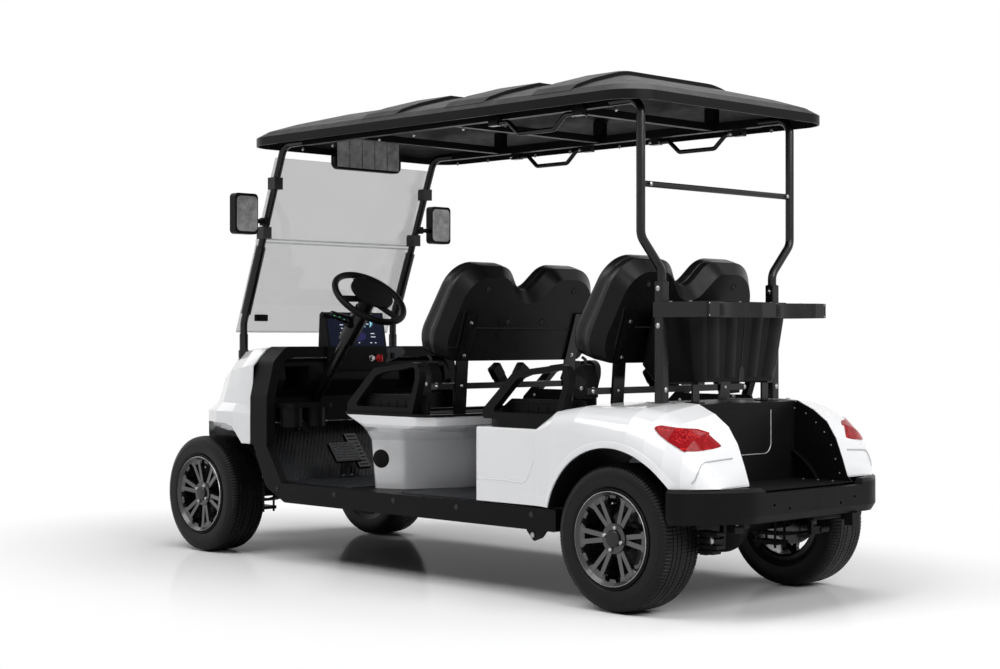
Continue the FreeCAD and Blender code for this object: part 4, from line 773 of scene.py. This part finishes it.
def tray_details(tag, x0):
    """Ribs along the standing walls, bolts and the cables that cross the tray."""
    ribs, bolts, wires = Form(), Form(), Form()
    for side in (-1, 1):
        wall_y = side * 484.6
        for k in range(7):
            x = x0 + 95 + 50 * k
            ribs.box(P(x, wall_y, 672), mm(9, 3.2, 46))
        ribs.box(P(x0 + 250, wall_y, 706), mm(330, 3.6, 6))
        bolts.bolt(P(x0 + 144, side * 470.5, 711), (0, -side, 0), 0.007)
        bolts.bolt(P(x0 + 420, side * 470.5, 690), (0, -side, 0), 0.006)
    for y in (-210, -70, 80, 220):
        wires.tube([P(x0 + x, y + dy, z) for x, dy, z in ((60, 0, 634), (150, 30, 640), (260, -15, 634),
                                                          (400, 10, 634))], 0.0035, 8)
    ribs.make(tag + "_ribs", PLASTIC, fine=0.001)
    bolts.screws(tag + "_bolts")
    wires.make(tag + "_cables", PIPING)


# ---- body panels ----
HANGER = ((0, 0), (0, -0.05), (-0.035, -0.085), (-0.075, -0.07), (-0.11, -0.03), (-0.11, 0))


def sills():
    """Bolt heads along the sills, and the bracket that hangs under each one's rear end."""
    bolts, hanger, heads = Form(), Form(), Form()
    for side in (-1, 1):
        y = flank("side_sills", side)
        for x in (428, 823, 1184, 1549, 1930):
            bolts.bolt(P(x, y * 1000 + side * 0.2, 308), (0, side, 0), 0.0085, 0.003)
        root = P(473, side * 540, 296)
        hanger.rings([[root + Vector((x, -off, z)) for x, z in HANGER] for off in (0, 0.012)])
        heads.bolt(P(441, side * (541.0 if side > 0 else 553.0), 233), (0, side, 0), 0.0075)
    bolts.make("sill_bolts", SEAM, smooth=40)
    hanger.make("sill_hangers", STEEL, fine=0.002)
    heads.screws("sill_hanger_bolts")


# X and half-width of the rear body's side, from the seat back to the bumper
FENDER_SIDE = [(714, 560), (410, 560), (315, 580), (200, 588), (-40, 592), (-119, 588), (-191, 574), (-250, 548),
               (-289, 515), (-338, 446)]


def fender_half(x):
    for (x0, y0), (x1, y1) in zip(FENDER_SIDE, FENDER_SIDE[1:]):
        if x >= x1:
            return y0 + (y1 - y0) * (x - x0) / (x1 - x0)
    return FENDER_SIDE[-1][1]


ARCH_LIP = (312.5, 336.0)              # radii between which the lip runs


def arches():
    """Raised lip round each rear arch, and a black sheet inside it that is painted shade in the arch."""
    lip, arch_shade_sheet = Form(), Form()
    for side in (-1, 1):
        rings, shell = [], []
        for k in range(61):
            t = math.radians(16.0 + 148.0 * k / 60)
            c, s = math.cos(t), math.sin(t)
            (r0, y0), (r1, y1) = ((r, fender_half(REAR_AXLE + c * r)) for r in ARCH_LIP)
            around = ((r0, y0 - 3), (r0, y0 + 2.6), (r1 - 5, y1 + 2.6), (r1, y1 + 0.2), (r1, y1 - 3))
            # inside: rows of the black sheet of painted shade, just within the arch
            inside = ((310, 262), (310, y0 - 5), (307.5, y0 - 5), (307.5, 262))
            for skin, rows in ((rings, around), (shell, inside)):
                skin.append([P(REAR_AXLE + c * r, side * y, AXLE_Z + s * r) for r, y in rows])
        for form, skin in ((lip, rings), (arch_shade_sheet, shell)):
            form.rings(skin if side < 0 else [list(reversed(ring)) for ring in skin])
    lip.make("rear_arch_lips", WHITE, smooth=50)
    # the black sheet inside each arch is painted shade where the arch's inner side falls in shadow
    arch_shade_sheet.make("rear_arch_shade_sheets", PLASTIC)


def fender_trim():
    """Pressed line along the side panel and the small foot bolts by the posts."""
    crease, bolts = Form(), Form()
    for side in (-1, 1):
        crease.tube([P(x, side * 560.2, z) for x, z in ((712, 424), (560, 424), (470, 420), (452, 430), (430, 470),
                                                        (418, 500))], 0.0022, 8)
        bolts.bolt(P(-45, side * 330, 713.5), (0, 0, 1), 0.008)
        bolts.bolt(P(84, side * 322, 711), (0, 0, 1), 0.008)
    crease.make("side_creases", WHITE)
    bolts.screws("deck_bolts")


def well_trim():
    """Screws round the bag well, and a raised panel with a light seam along two sides."""
    bolts, seam, panel = Form(), Form(), Form()
    for side in (-1, 1):
        y = flank("bag_well", side)
        for x, z in ((-120, 690), (-170, 672), (-215, 640), (-252, 606), (-281, 560), (-300, 510), (-318, 460)):
            bolts.bolt(P(x + 12, y * 1000 - side * 4.2, z - 8), (0, -side, 0), 0.0034, 0.002)
    front = P(-104, 0, 0).x - 0.0042
    rows = filleted([(-133, 690, 12), (-133, 523, 38), (280, 523, 6), (280, 690, 12)], 6)
    loop = [Vector((front - 0.003, p.x / 1000, p.y / 1000)) for p in rows]
    panel.rings([[Vector((front + 0.001, p.y, p.z)) for p in loop], loop])
    seam.tube([Vector((front - 0.004, p.y, p.z)) for p in loop[5:21]], 0.0018, 8)
    for x in (-170, -235, -300):
        for y in (-250, 250):
            bolts.bolt(P(x, y, 426.2), (0, 0, 1), 0.005, 0.003)
    panel.make("well_panel", PLASTIC)
    seam.make("well_seam", ALLOY)
    bolts.screws("well_screws")


def laid_on(node, points, toward):
    """The points moved along a direction until they lie on the node's faces."""
    mesh = NODES[node].data
    faces = BVHTree.FromPolygons([v.co.copy() for v in mesh.vertices], [tuple(f.vertices) for f in mesh.polygons])
    found = [faces.ray_cast(p - toward * 0.2, toward)[0] for p in points]
    return [p for p in found if p is not None]


def bumper_trim():
    """Rings in the bumper's holes, and a grey line of painted shade where each rear corner steps in."""
    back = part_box("rear_bumper")[0].x
    holes = Form()
    for side in (-1, 1):
        for y, z in ((150, 361), (236, 377)):
            holes.ring((back + 0.0008, side * y / 1000, z / 1000), (1, 0, 0), 0.0078, 0.0012, 24, 6)
    holes.make("bumper_hole_rings", SEAM)
    # grey lines laid on the rear corners are painted shade on the ledges of each corner's step
    step = Form()
    for side in (-1, 1):
        turns = [P(x, side * y, z) for x, y, z in ((-352, 384, 535), (-330, 460, 530), (-312, 488, 527),
                                                   (-303, 498, 518), (-289, 516, 470), (-281, 524, 459))]
        line = resampled(turns, 0.008)
        line = line[:line.index(turns[-1]) + 1]
        body = "rear_fender_left" if side > 0 else "rear_fender_right"
        step.tube(laid_on(body, line, Vector((0.716, -side * 0.698, 0.0))), 0.003, 8)
    step.make("corner_step_shade_lines", STEP_LEDGE_SHADE)


def underside():
    """Shackle plates, tow bracket and skid bars below the rear bumper."""
    plates, bolts = Form(), Form()
    for side in (-1, 1):
        y = side * 330
        plates.box(P(-330, y, 326), mm(60, 30, 46))
        plates.box(P(-310, y, 296), mm(34, 44, 26))
        bolts.bolt(P(-330, y + 16, 320), (0, 1, 0), 0.008)
        bolts.bolt(P(-361, y, 330), (-1, 0, 0), 0.007)
    plates.box(P(-384, -250, 296), mm(34, 46, 46))
    plates.box(P(-300, -190, 300), mm(26, 150, 14))
    for z, length in ((284, 104), (262, 88), (240, 100), (221, 66)):
        plates.box(P(-256, 400, z), mm(length, 46, 13))
    plates.box(P(-240, 400, 252), mm(30, 30, 84))
    bolts.bolt(P(-285, 424, 262), (0, 1, 0), 0.009)
    plates.make("rear_brackets", STEEL, fine=0.002)
    bolts.screws("rear_bracket_bolts")


# ---- posts, rack and roof ----
REAR_POST_X = 22
REAR_POST_Y = 320


def post_trim():
    """Bolts and collars of the rear posts, and the end bolts of their cross tube."""
    bolts, collars, ends = Form(), Form(), Form()
    for side in (-1, 1):
        y = side * REAR_POST_Y
        for z in (1116, 985):
            for out in (1, -1):
                bolts.bolt(P(REAR_POST_X, y + out * 19.4, z), (0, out, 0), 0.0075)
        bolts.bolt(P(2.4, y, 760), (-1, 0, 0), 0.0075)
        collars.ring(P(REAR_POST_X, y, 1140), (0, 0, 1), 0.0172, 0.0028, 28, 8)
        ends.bolt(Vector((P(REAR_POST_X, 0, 0).x - 0.017, side * 0.395, 1.479)), (-1, 0, 0), 0.006)
    bolts.screws("rear_post_bolts")
    collars.make("rear_post_collars", SHELL)
    ends.screws("crossbar_bolts")


def rack_trim():
    """Closed end plates with two screws each, and screws on top of the band."""
    low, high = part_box("bag_rack")
    plates, bolts = Form(), Form()
    for side in (-1, 1):
        y = flank("bag_rack", side) - side * 0.006
        middle = Vector((low.x + 0.002, y - side * 0.006, (low.z + high.z) / 2))
        plates.box(middle, (0.003, 0.024, high.z - low.z - 0.002))
        for z in (low.z + 0.006, high.z - 0.006):
            bolts.bolt(Vector((low.x + 0.0004, y - side * 0.004, z)), (-1, 0, 0), 0.0024)
        for x in (-20, -110):
            bolts.bolt(P(x, side * REAR_POST_Y, high.z * 1000), (0, 0, 1), 0.006)
    for y in (-0.09, 0.0, 0.09):
        bolts.bolt(Vector((low.x + 0.06, y, high.z)), (0, 0, 1), 0.005)
    plates.make("rack_end_plates", STEEL)
    bolts.screws("rack_screws")


def basket_trim():
    """Flutes, the dark seam between the two halves and the notch at its foot."""
    flutes, dark = Form(), Form()

    def on_back(y, z):
        t = (z - 785.0) / (1072.0 - 785.0)
        return P(-70 - 28 * t - 0.3, y, z)

    for y, w in ((148, 34), (56, 30), (-72, 30), (-164, 34)):
        rings = []
        for z in (800, 935, 1064):
            spread = 1.0 + 0.22 * (z - 800) / 264
            rings.append([on_back(y * spread - w, z), on_back(y * spread - w * 0.7, z) - mm(4, 0, 0),
                          on_back(y * spread + w * 0.7, z) - mm(4, 0, 0), on_back(y * spread + w, z)])
        flutes.rings(rings)
    dark.rings([[on_back(-6, z), on_back(-6, z) - mm(1.2, 0, 0), on_back(-9, z) - mm(1.2, 0, 0), on_back(-9, z)]
                for z in (790, 1066)])
    rows = filleted([(-26, 787, 3), (6, 787, 3), (2, 838, 10), (-20, 838, 10)], 5)
    dark.rings([[on_back(p.x, p.y) - mm(off, 0, 0) for p in rows] for off in (0.6, 1.4)])
    flutes.make("basket_flutes", PLASTIC, smooth=60)
    dark.make("basket_seam", SEAM)


RAIL_SIDE = 447.3                      # outer side of the roof rails and handles
RAIL_BOLT_Z = 1742


def rail_bolts():
    """Bolts on the sides of the roof rails and at the ends of the grab handles."""
    rails, handles = Form(), Form()
    for side in (-1, 1):
        for x in (120, 330, 690, 905, 1190, 1400, 1700, 1900):
            rails.bolt(P(x, side * RAIL_SIDE, RAIL_BOLT_Z), (0, side, 0), 0.006)
    for x0, x1, side in ((286, 717, 1), (286, 717, -1), (1096, 1527, -1)):
        for x in (x0 + 8, x1 - 8):
            handles.bolt(P(x, side * RAIL_SIDE, RAIL_BOLT_Z), (0, side, 0), 0.006)
            handles.bolt(P(x, side * 414.7, RAIL_BOLT_Z), (0, -side, 0), 0.006)
    rails.screws("roof_rail_bolts")
    handles.screws("handle_bolts")


# ---- windshield and mirrors ----
def glass_at(y, z, off=0.0):
    """Point on the rear face of the windshield, which leans between its boxes' ends."""
    low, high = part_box("windshield")
    t = (z / 1000.0 - low.z) / (high.z - low.z)
    x = high.x + (low.x - high.x) * t
    return Vector((x + off, y / 1000.0, z / 1000.0))


def windshield_trim():
    """Hinge lines between the two panes, the latch and the lower seal."""
    hinge, latch, seal = Form(), Form(), Form()
    for z in (1362, 1376):
        hinge.tube([glass_at(y, z, -0.006) for y in (-434, 434)], 0.004, 8)
    latch.box(glass_at(330, 1032, -0.016), mm(22, 62, 30))
    latch.box(glass_at(330, 1032, -0.030), mm(8, 44, 16))
    seal.tube([glass_at(y, 970, -0.004) for y in (-436, 436)], 0.004, 8)
    hinge.make("windshield_hinge", CLEAR)
    latch.make("windshield_latch", PLASTIC, fine=0.003)
    seal.make("windshield_lower_seal", CLEAR)


def mirror_faces():
    """Bright glass set in the back of each side mirror, and in the cabin mirror."""
    low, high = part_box("side_mirrors")
    glass = Form()
    for side in (-1, 1):
        y_out = flank("side_mirrors", side)
        y0, y1 = y_out - side * 0.008, y_out - side * 0.115
        z0, z1 = low.z + 0.012, high.z - 0.012
        rows = filleted([(y0, z0, 0.02), (y1, z0, 0.02), (y1, z1, 0.02), (y0, z1, 0.02)], 5)
        if side < 0:
            rows = list(reversed(rows))
        glass.rings([[Vector((low.x - off, p.x, p.y)) for p in rows] for off in (0.0002, 0.0014)])
    glass.make("mirror_glass", MIRROR)
    low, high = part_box("cabin_mirror")
    panes = Form()
    count = 5
    width = (high.y - low.y - 0.02) / count
    for k in range(count):
        y = low.y + 0.01 + width * (k + 0.5)
        panes.box((low.x + 0.0005, y, (low.z + high.z) / 2), (0.002, width - 0.004, high.z - low.z - 0.02))
    panes.make("cabin_mirror_panes", MIRROR_DARK)


# ---- cockpit ----
DISPLAY_BACK = 2003.7


def display_trim():
    """Screen with a ring gauge, a soft glow, bars of marks and small round lamps."""

    def on_face(y, z, off=0.0):
        return P(DISPLAY_BACK - 14 + 30 * (z - 900.0) / 157.0 - off, y, z)

    screen, ring, marks, lamps = Form(), Form(), Form(), Form()
    y0, y1, z0, z1 = 226, -86, 908, 1048
    rows = filleted([(y0, z0, 6), (y1, z0, 6), (y1, z1, 6), (y0, z1, 6)], 4)
    screen.rings([[on_face(p.x, p.y, off) for p in rows] for off in (-1.0, 0.6)])
    normal = (on_face(0, 950, 10) - on_face(0, 950)).normalized()
    middle = on_face(2, 1004, 1.0)
    ring.ring(middle, normal, 0.019, 0.0026, 60, 6)
    ring.ring(middle, normal, 0.027, 0.0011, 60, 6)
    for y, z in ((183, 1040), (155, 1036), (106, 1038), (177, 1026), (132, 1022), (113, 1022)):
        lamps.lathe(on_face(y, z, 0.8), normal, [(0, 0.0035), (0.0006, 0.0035)], 12)
    for y, z, w in ((-22, 962, 22), (-24, 947, 26), (97, 921, 8), (-8, 921, 10), (-34, 921, 8), (2, 1004, 14),
                    (150, 1000, 18), (150, 985, 10), (150, 965, 24), (60, 921, 8)):
        marks.box(on_face(y, z, 0.9), mm(0.8, w, 3.4))
    bloom = circle(Vector((44, 0)), Vector((0, 22)), 1.0, 28)
    haze = Form()
    haze.rings([[on_face(61 + p.x, 950 + p.y, off) for p in bloom] for off in (0.5, 0.75)])
    haze.make("display_haze", VIOLET)
    screen.make("display_screen", SCREEN)
    ring.make("display_gauge", CYAN)
    marks.make("display_marks", PALE_GLOW)
    lamps.make("display_lamps", GREEN_GLOW)


def switch_panel():
    """Panel under the display with key lock, red knob and two rockers."""
    panel, chrome, red, black = Form(), Form(), Form(), Form()
    x = DISPLAY_BACK - 0.3
    rows = filleted([(58, 892, 8), (44, 812, 10), (-30, 806, 10), (-222, 872, 12), (-196, 902, 8)], 4)
    panel.rings([[P(x - off, p.x, p.y) for p in rows] for off in (0, 5)])
    chrome.lathe(P(x - 5, -9, 853), (-1, 0, 0), [(0, 0.015), (0.006, 0.015), (0.008, 0.010), (0.020, 0.009)], 20)
    red.lathe(P(x - 5, -50, 852), (-1, 0, 0), [(0, 0.017), (0.007, 0.017), (0.010, 0.012), (0.020, 0.013),
                                               (0.026, 0.011)], 20)
    red.box(P(x - 32, -50, 852), mm(12, 6, 30))
    for y in (-96, -138):
        black.box(P(x - 7, y, 862), mm(8, 16, 28))
    panel.make("switch_panel", GREY)
    chrome.make("key_lock", BOLT)
    red.make("drive_knob", RED_PLAIN, fine=0.001)
    black.make("rocker_switches", PLASTIC, fine=0.001)


def cup_trim():
    """Clamp screws and bracket under the cup holder."""
    bolts, bracket = Form(), Form()
    for y in (375, 395, 415):
        bolts.bolt(P(1965, y, 548), (-1, 0, 0.3), 0.006)
    bracket.box(P(1985, 391, 560), mm(60, 22, 40))
    bracket.box(P(1970, 391, 548), mm(20, 64, 12))
    bracket.make("cup_bracket", STEEL, fine=0.002)
    bolts.screws("cup_bracket_bolts")


TOE_RISE, TOE_RUN = 235.0, 190.0       # slope of the toe board, as in the CAD


def pedal_trim():
    """Raised grid on the brake pad, ribs on the throttle and the brake's hinge."""
    ribs, dark = Form(), Form()
    turn = Matrix.Rotation(-math.atan2(TOE_RISE, TOE_RUN), 3, "Y")
    brake = P(1918, 205, 445)
    for place, count, w, h in ((brake, 7, 140, 96), (P(1976, 90, 444), 9, 60, 170)):
        for i in range(count):
            along = (i + 0.5) / count * h - h / 2
            (ribs if w > 100 else dark).box(place + turn @ mm(along, 0, 8.6), mm(5, w - 14, 2.4), turn)
    for k in range(9):
        ribs.box(brake + turn @ mm(0, -60 + 15 * k, 8.7), mm(84, 4, 2.2), turn)
    ribs.make("pedal_ribs", GREY, fine=0.0006)
    dark.make("throttle_ribs", PLASTIC, fine=0.0006)
    hinge, heads = Form(), Form()
    hinge.box(P(1912, 205, 344), mm(46, 60, 10))
    hinge.box(P(1921, 205, 362), mm(22, 34, 34))
    for y in (183, 227):
        heads.bolt(P(1896, y, 349), (0, 0, 1), 0.006)
    hinge.make("brake_hinge", GREY, fine=0.001)
    heads.screws("brake_hinge_bolts")


def wheel_clip():
    """Score-card clip on the steering wheel's plate and the stalk on the column."""
    mid = centre("steering_wheel")
    tilt = math.radians(40.0)
    up = Vector((-math.sin(tilt), 0.0, math.cos(tilt)))
    ahead = Vector((math.cos(tilt), 0.0, math.sin(tilt)))
    clip = Form()
    turn = Matrix((ahead, Vector((0, 1, 0)), up)).transposed()
    clip.box(mid + up * 0.020 + ahead * 0.088, (0.030, 0.070, 0.008), turn)
    clip.box(mid + up * 0.026 + ahead * 0.096, (0.014, 0.050, 0.010), turn)
    clip.make("card_clip", PLASTIC, "steering_wheel", fine=0.002)
    stalk = Form()
    root, tip = P(1780, 292, 1004), P(1772, 448, 1042)
    stalk.tube([root, root + (tip - root) * 0.5 + mm(0, 0, 4), tip], 0.0065, 10)
    stalk.tube([tip + (root - tip) * 0.25, tip], 0.0105, 12)
    stalk.lathe(root - mm(0, 34, 8), (0, 1, 0.25), [(0, 0.021), (0.05, 0.018)], 16)
    stalk.make("turn_stalk", PLASTIC)


def vents():
    """Round black vent on each side of the front pod."""
    disc = Form()
    for side in (-1, 1):
        out = Vector((-0.33, side * 0.944, -0.03)).normalized()
        disc.lathe(P(1416, side * 424, 454) - out * 0.002, out, [(0, 0.0375), (0.004, 0.0375), (0.006, 0.034)], 36)
    disc.make("pod_vents", PLASTIC)


# ---- assembly ----
def details():
    for name in ("rear_left", "rear_right", "front_left", "front_right"):
        tyre(name)
        wheel_trim(name)
    for tag, base_x in (("rear", 238.0), ("front", 1068.0)):
        back_pad(tag + "_backrest_pad", base_x)
        back_shell_trim(tag + "_backrest_shell", base_x)
        seat_details(base_x, tag)
    tray_details("rear_seat_tray", 178.0)
    tray_details("front_seat_tray", 1008.0)
    for job in (sills, arches, fender_trim, well_trim, bumper_trim, underside, post_trim, rack_trim, basket_trim,
                rail_bolts, windshield_trim, mirror_faces, display_trim, switch_panel, cup_trim, pedal_trim,
                wheel_clip, vents):
        job()


paint_nodes()
details()
studio()
lights()
camera()
